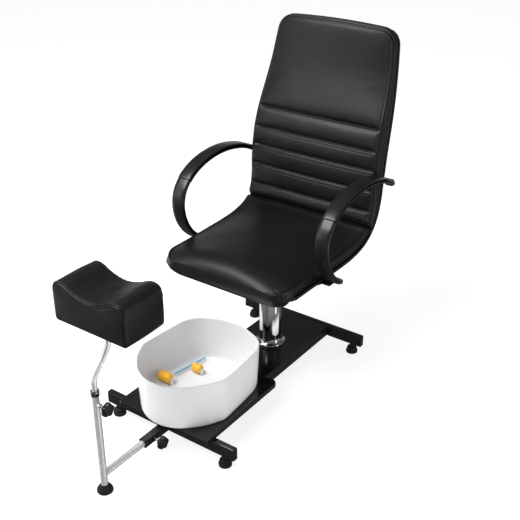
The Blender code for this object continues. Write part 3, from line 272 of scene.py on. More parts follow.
def ringed(rings, hollow=False):
    """Points and faces of rings joined in a row. Each end gets a flat face, or, where the form is hollow, the
    last ring is joined to the first."""
    rows, around = rings.shape[:2]
    near = np.arange(rows * around).reshape(rows, around)
    first, last = near[0], near[-1]
    near, far = (near, np.roll(near, -1, axis=0)) if hollow else (near[:-1], near[1:])
    quads = np.stack([near, np.roll(near, -1, axis=1), np.roll(far, -1, axis=1), far], axis=-1).reshape(-1, 4)
    faces = quads.tolist() if hollow else [*quads.tolist(), first.tolist(), last[::-1].tolist()]
    return rings.reshape(-1, 3), faces


GLIDE_RADIUS, NUT_RADIUS, STEM_RADIUS, GLIDE_X, BEAM_LOW = 0.0205, 0.0085, 0.0040, 0.212, 0.0350
tread = [(0.0020, 0.0), (0.0004, 0.0010), (0.0, 0.0028), (0.0, 0.0092), (0.0008, 0.0106), (0.0044, 0.0120),
         (0.0050, 0.0130), (0.0050, 0.0146), (0.0036, 0.0158), (0.0031, 0.0170), (0.0036, 0.0205), (0.0058, 0.0228)]
profile = [(GLIDE_RADIUS - inset, height) for inset, height in tread]
profile += [(NUT_RADIUS, 0.0240), (NUT_RADIUS, BEAM_LOW - 0.0008), (STEM_RADIUS, BEAM_LOW - 0.0006),
            (STEM_RADIUS, BEAM_LOW + 0.018)]
for end_name, y in (("front", COLUMN_Y - 0.5375), ("rear", COLUMN_Y + 0.2035)):
    for side_name, side in (("left", 1), ("right", -1)):
        skinned(end_name + "_" + side_name + "_foot", *ringed(upright(profile, y, side * GLIDE_X, 56)),
                glide_rubber, end_name + " " + side_name + " glide", "black_rubber",
                [end_name + "_" + side_name + "_glide"], sharp=48)


# ---------------------------------------------------------------- column
# A bell flange stands on the spine, a tube cover hides the gas lift, and a second cover telescopes inside it.
# All are drawn from steel sheet, polished and chromed.
chrome_plate = finish("chrome_plate", [(0.33, 0.34, 0.35)], (0.03, 0.09), (30.0, 5.0), Metallic=1.0)


def through(points, count):
    """A Catmull-Rom curve through points, as count + 1 places at equal spacing, and its length."""
    padded = np.vstack([points[:1], points, points[-1:]])
    last = len(points) - 1
    value = np.linspace(0.0, last, 60 * last + 1)
    span = np.minimum(value.astype(int), last - 1)
    t = (value - span)[:, None]
    before, here, there, after = (padded[span + k] for k in range(4))
    fine = 0.5 * (2 * here + (there - before) * t + (2 * before - 5 * here + 4 * there - after) * t ** 2
                  + (3 * here - before - 3 * there + after) * t ** 3)
    run = np.concatenate([[0.0], np.cumsum(np.linalg.norm(np.diff(fine, axis=0), axis=1))])
    wanted = np.linspace(0.0, run[-1], count + 1)
    return np.stack([np.interp(wanted, run, fine[:, k]) for k in range(points.shape[1])], axis=1), run[-1]


COVER_RADIUS, SPINE_TOP, COVER_TOP, GAP = 0.0377, 0.0763, 0.2820, 0.0003
COVER_WALL, INNER_WALL = 0.0018, 0.0015
bell, _ = through(np.array([
    (0.0135, 0.0006), (0.0137, 0.0030), (0.0126, 0.0056), (0.0098, 0.0082), (0.0068, 0.0112), (0.0044, 0.0146),
    (0.0029, 0.0182), (0.0020, 0.0220)]), 28)
profile = [(COVER_RADIUS + 0.0130, SPINE_TOP)] + [(COVER_RADIUS + out, SPINE_TOP + up) for out, up in bell]
profile += [(COVER_RADIUS + GAP, SPINE_TOP + 0.0220), (COVER_RADIUS + GAP, SPINE_TOP)]
skinned("column_bell", *ringed(upright(profile, COLUMN_Y), True), chrome_plate, "base", "chrome", ["column_flange"],
        sharp=50)
profile = [(COVER_RADIUS, SPINE_TOP), (COVER_RADIUS, COVER_TOP - 0.001), (COVER_RADIUS - 0.0008, COVER_TOP),
           (COVER_RADIUS - COVER_WALL, COVER_TOP), (COVER_RADIUS - COVER_WALL, SPINE_TOP)]
skinned("column_tube", *ringed(upright(profile, COLUMN_Y), True), chrome_plate, "base", "chrome", ["column_cover"],
        sharp=50)
INNER_RADIUS, INNER_LOW, HUB_LOW, ROD_BORE = 0.0352, 0.165, 0.3380, 0.0143
profile = [(INNER_RADIUS, INNER_LOW), (INNER_RADIUS, HUB_LOW - 0.0016), (INNER_RADIUS - INNER_WALL, HUB_LOW - GAP),
           (ROD_BORE, HUB_LOW - GAP), (ROD_BORE, HUB_LOW - 0.002), (INNER_RADIUS - INNER_WALL, HUB_LOW - 0.002),
           (INNER_RADIUS - INNER_WALL, INNER_LOW)]
skinned("sliding_tube", *ringed(upright(profile, COLUMN_Y), True), chrome_plate, "lift", "chrome",
        ["telescoping_cover"], sharp=50)


# ---------------------------------------------------------------- strut, leg and post
# Satin-plated tubes. The strut slides in the sleeve and is coped to the upright leg, which is tapped for its
# knob. The S-bent post turns and slides in the leg.
satin_plate = finish("satin_plate", [(0.70, 0.70, 0.69), (0.76, 0.76, 0.75)], (0.24, 0.30), (45.0, 5.0),
                     Metallic=0.55)


def eased(x):
    """A step from 0 to 1 with level ends."""
    x = np.clip(x, 0.0, 1.0)
    return x * x * (3 - 2 * x)


def turned(profile, count, centre, side):
    """Rings of a profile of (radius, distance along X) turned about an axis along X through a centre (Y, Z)."""
    turn = full_turn(count)
    radius, along = (np.array(values)[:, None] for values in zip(*profile))
    x = np.repeat(side * along, count, axis=1)
    return np.stack([x, centre[0] + radius * np.cos(turn), centre[1] + radius * np.sin(turn)], axis=-1)


def solid(name, rings):
    """A loose solid of closed rings, for joining to a piece."""
    return formed(name, *ringed(rings))


def with_steps_applied(piece):
    """The piece's mesh with its modifiers worked in, so that none stays on it."""
    evaluated = piece.evaluated_get(bpy.context.evaluated_depsgraph_get())
    worked = bpy.data.meshes.new_from_object(evaluated, preserve_all_data_layers=True,
                                             depsgraph=bpy.context.evaluated_depsgraph_get())
    piece.modifiers.clear()
    worked.name = piece.data.name + "_worked"
    piece.data = worked
    return worked


def joined(piece, added, cut, sharp):
    """Join some loose solids to a piece and cut others out of it, all worked into its mesh, and mark as sharp
    the edges over an angle."""
    for how, others in (("UNION", added), ("DIFFERENCE", cut)):
        for other in others:
            step = piece.modifiers.new(other.name, "BOOLEAN")
            step.operation, step.solver, step.object = how, "EXACT", other
        with_steps_applied(piece)
        for other in others:
            bpy.data.objects.remove(other)
    piece.data.set_sharp_from_angle(angle=math.radians(sharp))


LEG_Y, LEG_RADIUS, LEG_BORE, LEG_TOP, STRUT_Z = COLUMN_Y - 0.822, 0.0104, 0.0089, 0.345, 0.060
STRUT_RADIUS, STRUT_END = LEG_RADIUS - 0.0001, COLUMN_Y - 0.420
turn = full_turn(64)
strut_rings = []
# The coped end lies on the leg: y = leg + sqrt(leg radius^2 - x^2).
for share in (0.10, 0.45, 0.75, 0.94, 1.0):
    x = share * STRUT_RADIUS * np.cos(turn)
    strut_rings.append(np.stack([x, LEG_Y + np.sqrt((LEG_RADIUS + GAP) ** 2 - x ** 2),
                                 STRUT_Z + share * STRUT_RADIUS * np.sin(turn)], axis=-1))
for radius, y in ((STRUT_RADIUS, STRUT_END - 0.001), (STRUT_RADIUS - 0.001, STRUT_END)):
    strut_rings.append(np.stack([radius * np.cos(turn), np.full(64, y), STRUT_Z + radius * np.sin(turn)], axis=-1))
skinned("strut_bar", *ringed(np.stack(strut_rings)), satin_plate, "strut", "chrome", ["strut_tube"], sharp=40)

KNOB_HEIGHT, THREAD_RADIUS, LEG_LOW, BORE_LOW = 0.303, 0.0034, 0.0080, 0.0900
profile = [(LEG_RADIUS, LEG_LOW), (LEG_RADIUS, LEG_TOP), (LEG_BORE, LEG_TOP), (LEG_BORE, BORE_LOW),
           (STEM_RADIUS, BORE_LOW - 0.0020), (STEM_RADIUS, LEG_LOW)]
leg = skinned("leg_tube", *ringed(upright(profile, LEG_Y, 0.0, 64), True), satin_plate, "strut", "chrome",
              ["upright_leg"])
boss = [(0.0072, LEG_RADIUS - 0.0012), (0.0072, LEG_RADIUS + 0.0060), (0.0064, LEG_RADIUS + 0.0068)]
thread = [(THREAD_RADIUS, 0.0070), (THREAD_RADIUS, 0.03)]
joined(leg, [solid("boss", turned(boss, 40, (LEG_Y, KNOB_HEIGHT), 1))],
       [solid("thread", turned(thread, 24, (LEG_Y, KNOB_HEIGHT), 1))], 40)

POST_RADIUS, POST_TOP_Y, LOW_BEND, HIGH_BEND = 0.0084, COLUMN_Y - 0.757, 0.3720, 0.4720
z = np.concatenate([[0.1600, 0.2600, 0.3600], np.linspace(LOW_BEND - 0.004, HIGH_BEND + 0.004, 49), [0.5125]])
y = LEG_Y + (POST_TOP_Y - LEG_Y) * eased((z - LOW_BEND) / (HIGH_BEND - LOW_BEND))
slope_y, slope_z = np.gradient(y), np.gradient(z)
length = np.hypot(slope_y, slope_z)
post_rings = np.stack([np.repeat(POST_RADIUS * np.cos(turn)[None], len(z), axis=0),
                       y[:, None] - (slope_z / length)[:, None] * POST_RADIUS * np.sin(turn),
                       z[:, None] + (slope_y / length)[:, None] * POST_RADIUS * np.sin(turn)], axis=-1)
dress(chrome_plate, "leg_bush")
skinned("bent_post", *ringed(post_rings), satin_plate, "footrest", "chrome", ["footrest_post"], sharp=40)


# ---------------------------------------------------------------- clamping knobs and leg glide
# Five-lobed knobs moulded over zinc-plated studs clamp the strut and the post. The leg stands on a domed
# rubber glide.
KNOB_RADIUS, LOBES, LOBE_DEPTH = 0.0212, 5, 0.10
knob_side, _ = through(np.array([
    (0.0, 0.62), (0.0022, 0.80), (0.0048, 0.93), (0.0080, 1.0), (0.0130, 1.0), (0.0172, 0.955), (0.0200, 0.84),
    (0.0214, 0.66), (0.0219, 0.40), (0.0220, 0.12)]), 30)
turn = full_turn(80)
lobes = 1 + LOBE_DEPTH * np.cos(LOBES * turn) * np.clip((knob_side[:, 1:] - 0.50) / 0.3, 0.0, 1.0)
radius = KNOB_RADIUS * knob_side[:, 1:] * lobes / (1 + LOBE_DEPTH)
for name, body, x, y, height in (("strut_grip", "strut knob", 0.0340, COLUMN_Y - 0.622, STRUT_Z),
                                 ("height_grip", "height knob", 0.0310, LEG_Y, KNOB_HEIGHT)):
    rings = np.stack([np.repeat(x + knob_side[:, :1], 80, axis=1), y + radius * np.cos(turn),
                      height + radius * np.sin(turn)], axis=-1)
    skinned(name, *ringed(rings), moulded_black, body, "black_plastic", [name.replace("grip", "knob")],
            sharp=60)

FOOT_RADIUS = 0.0235
dome, _ = through(np.array([(FOOT_RADIUS, 0.0020), (FOOT_RADIUS, 0.0060), (FOOT_RADIUS - 0.0016, 0.0110),
                            (FOOT_RADIUS - 0.0050, 0.0165), (FOOT_RADIUS - 0.0090, 0.0215),
                            (LEG_RADIUS + 0.0022, 0.0250)]), 20)
profile = [(FOOT_RADIUS - 0.0020, 0.0), (FOOT_RADIUS - 0.0005, 0.0007)] + [tuple(row) for row in dome]
profile += [(LEG_RADIUS + GAP, 0.0252), (LEG_RADIUS + GAP, 0.0076), (0.0060, 0.0076), (0.0060, 0.0)]
skinned("leg_foot", *ringed(upright(profile, LEG_Y, 0.0, 56), True), glide_rubber, "leg glide", "black_rubber",
        ["leg_glide"], sharp=48)


# ---------------------------------------------------------------- foot basin
# The tub is moulded from white plastic about 3.5 mm thick, with a little draft and a rounded rim. Lugs on its
# floor hold the pins of the two rollers. It stands loose on the tray and is lifted off to be emptied.


def set_in(loop, inset):
    """A closed clockwise loop of two columns moved inwards along its normals."""
    along = np.roll(loop, -1, axis=0) - np.roll(loop, 1, axis=0)
    along = along / np.linalg.norm(along, axis=1, keepdims=True)
    return loop - np.stack([-along[:, 1], along[:, 0]], axis=1) * inset


BASIN_Y, BASIN_LOW, BASIN_WALL, DRAFT = COLUMN_Y - 0.400, 0.0913, 0.0035, 0.007
PLAN_HALF = np.array([
    (0.000, -0.205), (0.048, -0.196), (0.092, -0.170), (0.132, -0.126), (0.156, -0.082), (0.163, -0.060),
    (0.160, 0.000), (0.155, 0.060), (0.148, 0.112), (0.132, 0.148), (0.104, 0.172), (0.072, 0.186), (0.044, 0.195),
    (0.000, 0.199)])
plan_fine, _ = through(np.vstack([PLAN_HALF[1:2] * (-1, 1), PLAN_HALF, PLAN_HALF[-2:-1] * (-1, 1)]), 4000)
first, last = (np.argmin(np.hypot(*(plan_fine - end).T)) for end in (PLAN_HALF[0], PLAN_HALF[-1]))
plan_right = plan_fine[np.round(np.linspace(first, last, 97)).astype(int)]
plan_loop = np.vstack([plan_right, plan_right[-2:0:-1] * (-1, 1)])[::-1]

tub_white = finish("tub_white", [(0.77, 0.78, 0.79), (0.83, 0.84, 0.85)], (0.26, 0.40), (16.0, 4.0),
                   (700.0, 2.0, 0.10, 0.0002), Specular_IOR_Level=0.45)
outside = [(DRAFT + 0.0110, 0.0), (DRAFT + 0.0062, 0.0), (DRAFT + 0.0036, 0.0008), (DRAFT + 0.0014, 0.0030),
           (DRAFT + 0.0004, 0.0062), (DRAFT - 0.0006, 0.0130), (DRAFT * 0.72, 0.0440), (DRAFT * 0.42, 0.0840),
           (DRAFT * 0.16, 0.1230), (0.0005, 0.1437), (0.0001, 0.1490), (0.0001, 0.1511), (0.0008, 0.1527),
           (0.0020, 0.1534)]
inside = [(0.0034, 0.1534), (0.0046, 0.1526), (0.0053, 0.1505), (0.0050, 0.1470), (0.0042, 0.1417),
          (DRAFT * 0.42 + BASIN_WALL, 0.0840), (DRAFT * 0.72 + BASIN_WALL, 0.0440), (DRAFT + BASIN_WALL, 0.0180),
          (DRAFT + BASIN_WALL + 0.0012, 0.0112), (DRAFT + BASIN_WALL + 0.0042, 0.0062),
          (DRAFT + BASIN_WALL + 0.0100, BASIN_WALL), (DRAFT + BASIN_WALL + 0.0150, BASIN_WALL)]
tub_rings = np.stack([np.column_stack([set_in(plan_loop, inset), np.full(len(plan_loop), BASIN_LOW + height)])
                      for inset, height in outside + inside])
tub_rings[..., 1] += BASIN_Y
tub = skinned("foot_tub", *ringed(tub_rings), tub_white, "basin", "white_plastic", ["foot_basin"])
TUB_FLOOR, PIN_RADIUS, PIN_LIFT, LUG_RADIUS, LUG_FOOT = BASIN_LOW + BASIN_WALL, 0.0025, 0.006, 0.0042, 0.0075
# Each roller's name, middle (x, y from the tub's), half length and radius.
ROLLERS = (("front_roller", -0.113, -0.021, 0.0230, 0.0150), ("rear_roller", -0.064, 0.078, 0.0165, 0.0130))
lugs, ways = [], []
for name, x, y, half, radius in ROLLERS:
    axis_z = TUB_FLOOR + radius + PIN_LIFT
    for end in (-1, 1):
        start = x + end * (half + 0.0008)
        turn = np.linspace(math.pi, 0.0, 15)
        crest = np.column_stack([LUG_RADIUS * np.cos(turn), axis_z + LUG_RADIUS * np.sin(turn)])
        outline = np.vstack([[(-LUG_FOOT, BASIN_LOW + 0.0015)], crest, [(LUG_FOOT, BASIN_LOW + 0.0015)]])
        lugs.append(solid("lug", np.stack([
            np.column_stack([np.full(len(outline), start + end * depth), outline[:, 0] + BASIN_Y + y,
                             outline[:, 1]]) for depth in (0.0, 0.0035)])))
    way = [(PIN_RADIUS + GAP, x - half - 0.012), (PIN_RADIUS + GAP, x + half + 0.012)]
    ways.append(solid("way", turned(way, 24, (BASIN_Y + y, axis_z), 1)))
joined(tub, lugs, ways, 40)


# ---------------------------------------------------------------- massage rollers and rib
# Two ribbed rollers moulded in bright orange turn on steel pins. Beside them a white plinth on the tub's
# floor carries a teal rubbing strip.
ROLLER_FULLNESS = 1.18
roller_orange = finish("roller_orange", [(1.0, 0.34, 0.006), (1.0, 0.62, 0.02)], (0.22, 0.36), (160.0, 3.0),
                       Coat_Weight=0.3)
for name, x, y, half, radius in ROLLERS:
    # Radius along the roller, s from -1 to 1: a flat barrel, 1 - 0.12 s^2, with clipped cosine ribs on it.
    s = np.linspace(-1.0, 1.0, 121)
    ribs = (np.clip(np.cos(s * math.pi * 3 / 1.06), -0.35, 1.0) + 0.35) / 1.35
    bulge = ROLLER_FULLNESS * radius * (0.90 + 0.10 * ribs) * (1 - 0.12 * s ** 2)
    bulge = bulge - radius * 0.20 * np.clip((np.abs(s) - 0.90) / 0.10, 0.0, 1.0) ** 2
    profile = [(PIN_RADIUS + GAP, -half)] + list(zip(bulge, s * half)) + [(PIN_RADIUS + GAP, half)]
    rings = turned([(r, x + along) for r, along in profile], 48, (BASIN_Y + y, TUB_FLOOR + radius + PIN_LIFT), 1)
    skinned("ribbed_" + name, *ringed(rings, True), roller_orange, name.replace("_", " "), "orange_plastic", [name],
            sharp=45)

strip_teal = finish("strip_teal", [(0.08, 0.40, 0.58), (0.14, 0.50, 0.68)], (0.24, 0.38), (90.0, 3.0))
RIB_ENDS = np.array([(-0.108, 0.015), (-0.086, 0.148)])


def rib(name, outline, look, slot, stands_for=()):
    """An outline of (width, height) carried along the rib's line, drawn in to a round at both ends."""
    share = np.array([0.0, 0.004, 0.014, 0.03, 0.05, 0.2, 0.5, 0.8, 0.95, 0.97, 0.986, 0.996, 1.0])
    grow = np.sqrt(1 - (1 - np.clip(np.minimum(share, 1 - share) / 0.05, 0.0, 1.0)) ** 2) * 0.92 + 0.08
    along = (RIB_ENDS[1] - RIB_ENDS[0]) / np.linalg.norm(RIB_ENDS[1] - RIB_ENDS[0])
    middle = RIB_ENDS[0] + (RIB_ENDS[1] - RIB_ENDS[0]) * share[:, None]
    wide, high = np.array(outline).T
    x = middle[:, :1] - along[1] * wide * grow[:, None]
    y = BASIN_Y + middle[:, 1:] + along[0] * wide * grow[:, None]
    z = TUB_FLOOR + GAP + np.repeat(high[None], len(share), axis=0)
    return skinned(name, *ringed(np.stack([x, y, z], axis=-1)), look, "basin", slot, stands_for, sharp=50)


rib("rib_plinth", [(-0.0050, 0.0), (-0.0044, 0.0030), (-0.0034, 0.0080), (-0.0028, 0.0108), (0.0028, 0.0108),
                   (0.0034, 0.0080), (0.0044, 0.0030), (0.0050, 0.0)], tub_white, "white_plastic")
strip_turn = np.linspace(math.pi, 0.0, 13)
rib("rib_strip", [(-0.0027, 0.0110)] + [(0.0027 * math.cos(a), 0.0122 + 0.0028 * math.sin(a)) for a in strip_turn]
    + [(0.0027, 0.0110)], strip_teal, "teal_plastic", ["massage_bar"])


# ---------------------------------------------------------------- gas lift's rod, lever and fasteners
# The gas lift's rod comes up into the seat's bracket, and a bent lever presses its valve. Like the studs,
# screws, bolts and pins they are zinc-plated steel with a faint spangle.
zinc_plate, tree, shader, place = base_finish("zinc_plate", (0.60, 0.61, 0.63), Metallic=1.0)
spangle = add(tree, "TexVoronoi", {"Vector": place, "Scale": 700.0}).outputs["Distance"]
varied(tree, shader, spangle, [(0.54, 0.55, 0.58), (0.66, 0.66, 0.67)], (0.22, 0.42))
dress(zinc_plate, "piston_rod", "height_lever", "strut_knob_stud", "height_knob_stud", "left_arm_screw",
      "right_arm_screw", "left_arm_front_bolt", "left_arm_rear_bolt", "right_arm_front_bolt",
      "right_arm_rear_bolt", "front_roller_pin", "rear_roller_pin")


# ---------------------------------------------------------------- seat shell
# The seat and back are one moulded shell, bent in an L. It is covered in the same leathercloth as the
# cushions, with a rear panel sewn to a narrow rim.
SHELL_LINE = np.array([
    (-0.206, 0.3855), (-0.120, 0.3845), (-0.030, 0.3845), (0.050, 0.3850), (0.125, 0.3895), (0.200, 0.4080),
    (0.258, 0.4450), (0.292, 0.4960), (0.305, 0.5600), (0.307, 0.6300), (0.316, 0.7000), (0.334, 0.7750),
    (0.355, 0.8500), (0.374, 0.9250), (0.391, 1.0000), (0.4040, 1.0610), (0.4112, 1.0975)])
SHELL_THICKNESS = 0.0128
TOP_CORNER = 0.046
HALF_AT_NOSE, WIDER_AT_CREASE, NARROWER_AT_TOP = 0.240, 0.008, 0.031
SEAT_LIFT, BACK_LIFT = 0.030, 0.009
LINE, LINE_LENGTH = through(SHELL_LINE, 1600)
LINE_RUN = np.linspace(0.0, LINE_LENGTH, len(LINE))


def calmed(values, reach):
    """A row of values smoothed by a bell of this reach, counted in steps, with its ends held."""
    bell = np.exp(-0.5 * (np.arange(-3 * reach, 3 * reach + 1) / reach) ** 2)
    return np.convolve(np.pad(values, 3 * reach, mode="edge"), bell / bell.sum(), mode="valid")


LINE_ANGLE = calmed(np.unwrap(np.arctan2(*np.gradient(LINE, axis=0).T[::-1])), 22)


def wrapped(x, run, off):
    """Places beside the bent shell: x across, run along its outer face from the front edge, off inwards from
    it. Past either end the line goes straight on."""
    x, run, off = np.broadcast_arrays(x, run, off)
    inside = np.clip(run, 0.0, LINE_LENGTH)
    angle = np.interp(inside, LINE_RUN, LINE_ANGLE)
    y = np.interp(inside, LINE_RUN, LINE[:, 0]) + (run - inside) * np.cos(angle) - off * np.sin(angle)
    z = np.interp(inside, LINE_RUN, LINE[:, 1]) + (run - inside) * np.sin(angle) + off * np.cos(angle)
    return np.stack([x, COLUMN_Y + y, z], axis=-1)


def run_at(height, off=0.0):
    """How far along the shell a face this far off it first reaches a height."""
    return LINE_RUN[np.argmax(wrapped(0.0, LINE_RUN, off)[:, 2] > height)]


CREASE = run_at(0.450)
BACK_STRAIGHT = run_at(0.650)


def half_width(run):
    """Half the width of the upholstery: widest at the crease, narrower at the nose and the top."""
    taper = np.maximum(0.0, run - BACK_STRAIGHT) / (LINE_LENGTH - BACK_STRAIGHT)
    return HALF_AT_NOSE + WIDER_AT_CREASE * eased(run / CREASE) - NARROWER_AT_TOP * taper ** 2


def side_lift(x, run):
    """How far the shell's sides rise off its middle, with the square from two thirds out, more under the seat
    than on the back."""
    rise = SEAT_LIFT - (SEAT_LIFT - BACK_LIFT) * eased((run - CREASE) / 0.230)
    return rise * np.clip((np.abs(x) / half_width(run) - 0.68) / 0.32, 0.0, 1.1) ** 2


def spaced(start, end, step, fine_at=(), fine_reach=0.006, fine_step=0.0022, edge=0.0):
    """Stations from start to end, about a step apart, closer near some places and, if edge isn't 0, near both
    ends."""
    probe = np.linspace(start, end, 4001)
    pace = np.full(probe.shape, step)
    for place in fine_at:
        nearness = np.clip((fine_reach * 2 - np.abs(probe - place)) / fine_reach, 0.0, 1.0)
        pace = np.minimum(pace, step + (fine_step - step) * nearness)
    if edge:
        pace = np.minimum(pace, edge * step + 0.30 * np.minimum(probe - start, end - probe))
    passed = np.concatenate([[0.0], np.cumsum(np.diff(probe) / ((pace[1:] + pace[:-1]) / 2))])
    return np.interp(np.linspace(0.0, passed[-1], int(round(passed[-1])) + 1), passed, probe)


def plan(runs, inset, across, turns=None):
    """A panel's places (x, run), set in from the outline by inset. After the rows at runs come rows round the
    top corners: run = end - corner + (corner - inset) sin(turn), and the half width falls by (corner - inset)(1
    - cos)."""
    drawn_in = np.zeros(len(runs))
    if turns is not None:
        bend = TOP_CORNER - inset
        runs = np.concatenate([runs, LINE_LENGTH - TOP_CORNER + bend * np.sin(turns)])
        drawn_in = np.concatenate([drawn_in, bend * (1 - np.cos(turns))])
    half = half_width(np.clip(runs, 0.0, LINE_LENGTH)) - inset - drawn_in
    return half[:, None] * across, np.repeat(runs[:, None], len(across), axis=1)


def inward(x, run):
    """How far a place lies in from the outline of the back, with its two round corners."""
    from_side, from_top = half_width(run) - np.abs(x), LINE_LENGTH - run
    corner = TOP_CORNER - np.hypot(np.maximum(TOP_CORNER - from_side, 0.0), np.maximum(TOP_CORNER - from_top, 0.0))
    return np.where((from_side < TOP_CORNER) & (from_top < TOP_CORNER), corner, np.minimum(from_side, from_top))


def loop_of(grid):
    """The edge of a grid of points, once round: first column up, last row across, last column down, first row
    back."""
    return np.concatenate([grid[:-1, 0], grid[-1, :-1], grid[:0:-1, -1], grid[0, :0:-1]])


def boxed(face, rear, border):
    """A closed form of two panels, each a grid of points, and the border sewn between their edges, a list of
    loops from the face to the rear. Gives the points and the quads."""
    rows, columns = face.shape[:2]
    number = np.arange(rows * columns).reshape(rows, columns)
    start = 2 * rows * columns
    loops = [loop_of(number)]
    loops += [np.arange(start + k * len(loops[0]), start + (k + 1) * len(loops[0])) for k in range(len(border))]
    loops.append(loop_of(number + rows * columns))

    def quads_of(numbers):
        return np.stack([numbers[:-1, :-1], numbers[:-1, 1:], numbers[1:, 1:], numbers[1:, :-1]],
                        axis=-1).reshape(-1, 4)

    quads = [quads_of(number), quads_of(number + rows * columns)[:, ::-1]]
    quads += [np.stack([near, far, np.roll(far, -1), np.roll(near, -1)], axis=-1)
              for near, far in zip(loops, loops[1:])]
    points = [face.reshape(-1, face.shape[-1]), rear.reshape(-1, face.shape[-1])] + list(border)
    return np.concatenate(points), np.concatenate(quads)


def table_of(items, name):
    """What each of a mesh's items holds under a name, as rows of three numbers."""
    table = np.empty(len(items) * 3)
    items.foreach_get(name, table)
    return table.reshape(-1, 3)


def places_of(mesh):
    """All points of a mesh."""
    return table_of(mesh.vertices, "co")


def normals_of(mesh):
    """The outward directions at all points of a mesh."""
    return table_of(mesh.vertex_normals, "vector")


def lay_of(mesh):
    """What each point carries from its pattern: across, along, and how far in from the seam, below 0 on the
    border."""
    return table_of(mesh.attributes["lay"].data, "vector")


def moved(piece, shift):
    """Move the points of a piece by a table of shifts."""
    piece.data.vertices.foreach_set("co", (places_of(piece.data) + shift).ravel())
    piece.data.update()


def with_one_division(piece):
    """One subdivision, worked into the mesh."""
    step = piece.modifiers.new("rounded", "SUBSURF")
    step.levels = step.render_levels = 1
    return with_steps_applied(piece)


leathercloth, tree, shader, place = base_finish("leathercloth", (0.0050, 0.0050, 0.0055), Specular_IOR_Level=0.24)
varied(tree, shader, noise(tree, place, 7.0, 4.0), [(0.0040, 0.0040, 0.0045), (0.0075, 0.0075, 0.0080)],
       (0.32, 0.46))
pores = add(tree, "TexVoronoi", {"Vector": place, "Scale": 720.0}, feature="DISTANCE_TO_EDGE").outputs["Distance"]
grain = add(tree, "Math", {0: between(tree, pores, 0.0, 1.0), 1: noise(tree, place, 1100.0, 3.0)}, operation="ADD")
bump = add(tree, "Bump", {"Height": grain.outputs["Value"], "Strength": 0.30, "Distance": 0.0003})
creasing = add(tree, "TexNoise", {"Vector": place, "Scale": 46.0, "Detail": 5.0, "Distortion": 0.6}).outputs["Fac"]
soft_bump = add(tree, "Bump", {"Height": creasing, "Strength": 0.22, "Distance": 0.0016,
                               "Normal": bump.outputs["Normal"]})
tree.links.new(soft_bump.outputs["Normal"], shader.inputs["Normal"])

rows = spaced(0.0, LINE_LENGTH - TOP_CORNER, 0.011)
turns = np.radians(np.linspace(9.0, 90.0, 9))
across = spaced(-1.0, 1.0, 0.040, edge=0.30)


def shell_off(x, run, depth):
    """How far off the outer face a point of the shell lies: its lift at the sides, and on the rear of the back
    a slight bulge outwards, the covering's foam."""
    foam = 0.0035 * (1 - (x / half_width(run)) ** 2) * eased((run - CREASE - 0.10) / 0.08)
    return side_lift(x, run) + SHELL_THICKNESS * depth - foam * (1 - depth)


def shell_loop(inset, depth):
    """The shell's rim at one inset and one fraction of its thickness."""
    x, run = (loop_of(grid) for grid in plan(rows, inset, across, turns))
    return wrapped(x, run, shell_off(x, run, depth))


x, run = plan(rows, 0.0022, across, turns)
shell_face = wrapped(x, run, shell_off(x, run, 1.0))
x, run = plan(rows, 0.0042, across, turns)
shell_rear = wrapped(x, run, shell_off(x, run, 0.0))
rim = [shell_loop(inset, depth) for inset, depth in ((0.0010, 0.93), (0.0006, 0.75), (0.0004, 0.45), (0.0012, 0.20),
                                                     (0.0026, 0.06))]
points, quads = boxed(shell_face, shell_rear, rim)
rear_lay = np.stack([x, run, inward(x, run)], axis=-1).reshape(-1, 3)
shell_lay = np.concatenate([np.full((rear_lay.shape[0], 3), 9.0), rear_lay,
                            np.full((len(points) - 2 * len(rear_lay), 3), 9.0)])
shell_cover = skinned("shell_cover", points, quads, leathercloth, "seat", "black_leather", ["seat_shell"],
                      shell_lay)
worked = with_one_division(shell_cover)
lay = lay_of(worked)
seam = (-0.0011 * np.exp(-((lay[:, 2] - 0.0125) / 0.0011) ** 2)
        + 0.0005 * np.exp(-((lay[:, 2] - 0.0160) / 0.0022) ** 2))
seam *= (lay[:, 1] > 0.02) & (lay[:, 1] < 5.0)
moved(shell_cover, normals_of(worked) * seam[:, None])


# ---------------------------------------------------------------- back cushion
# Foam under leathercloth: a face panel with five cross channels sewn through low down, a border round the
# sides and top, and a double seam where they meet. It is fixed to the shell from behind.
CUSHION_LOW = 0.0140
BACK_ROUND = 0.016
NECK_LOW, NECK_HIGH = run_at(0.725), run_at(0.985)
CHANNELS = np.array([run_at(height, 0.074) for height in (0.542, 0.612, 0.681, 0.742, 0.811)])
BACK_THICK, NECK_THINNER, BACK_CROWN, CREASE_FALL, TOP_ARCH = 0.066, 0.027, 0.010, 0.017, 0.009
CHANNEL_DEPTH, CHANNEL_REACH = 0.0070, 0.0062
FACE_SEAM, STITCH_INSET = 0.0052, 0.0085
BORDER_DEPTHS = (0.004, 0.008, 0.013, 0.02, 0.03, 0.04, 0.05, 0.06, 0.07)


def rounding(inward, radius):
    """How far a quarter round of this radius still lies below the face, at a distance in from its edge."""
    rise = radius - np.clip(inward, 0.0, radius)
    return radius - np.sqrt(np.maximum(radius ** 2 - rise ** 2, 0.0))


def back_off(x, run):
    """The face's height off the shell before its edges are rounded: thick low down, thinner at the neck,
    crowned."""
    full = BACK_THICK - NECK_THINNER * eased((run - NECK_LOW) / (NECK_HIGH - NECK_LOW))
    fall = CREASE_FALL * (1 - np.clip((run - CREASE) / 0.030, 0.0, 1.0)) ** 2
    return CUSHION_LOW + full - fall + BACK_CROWN * (1 - (x / half_width(run)) ** 2)


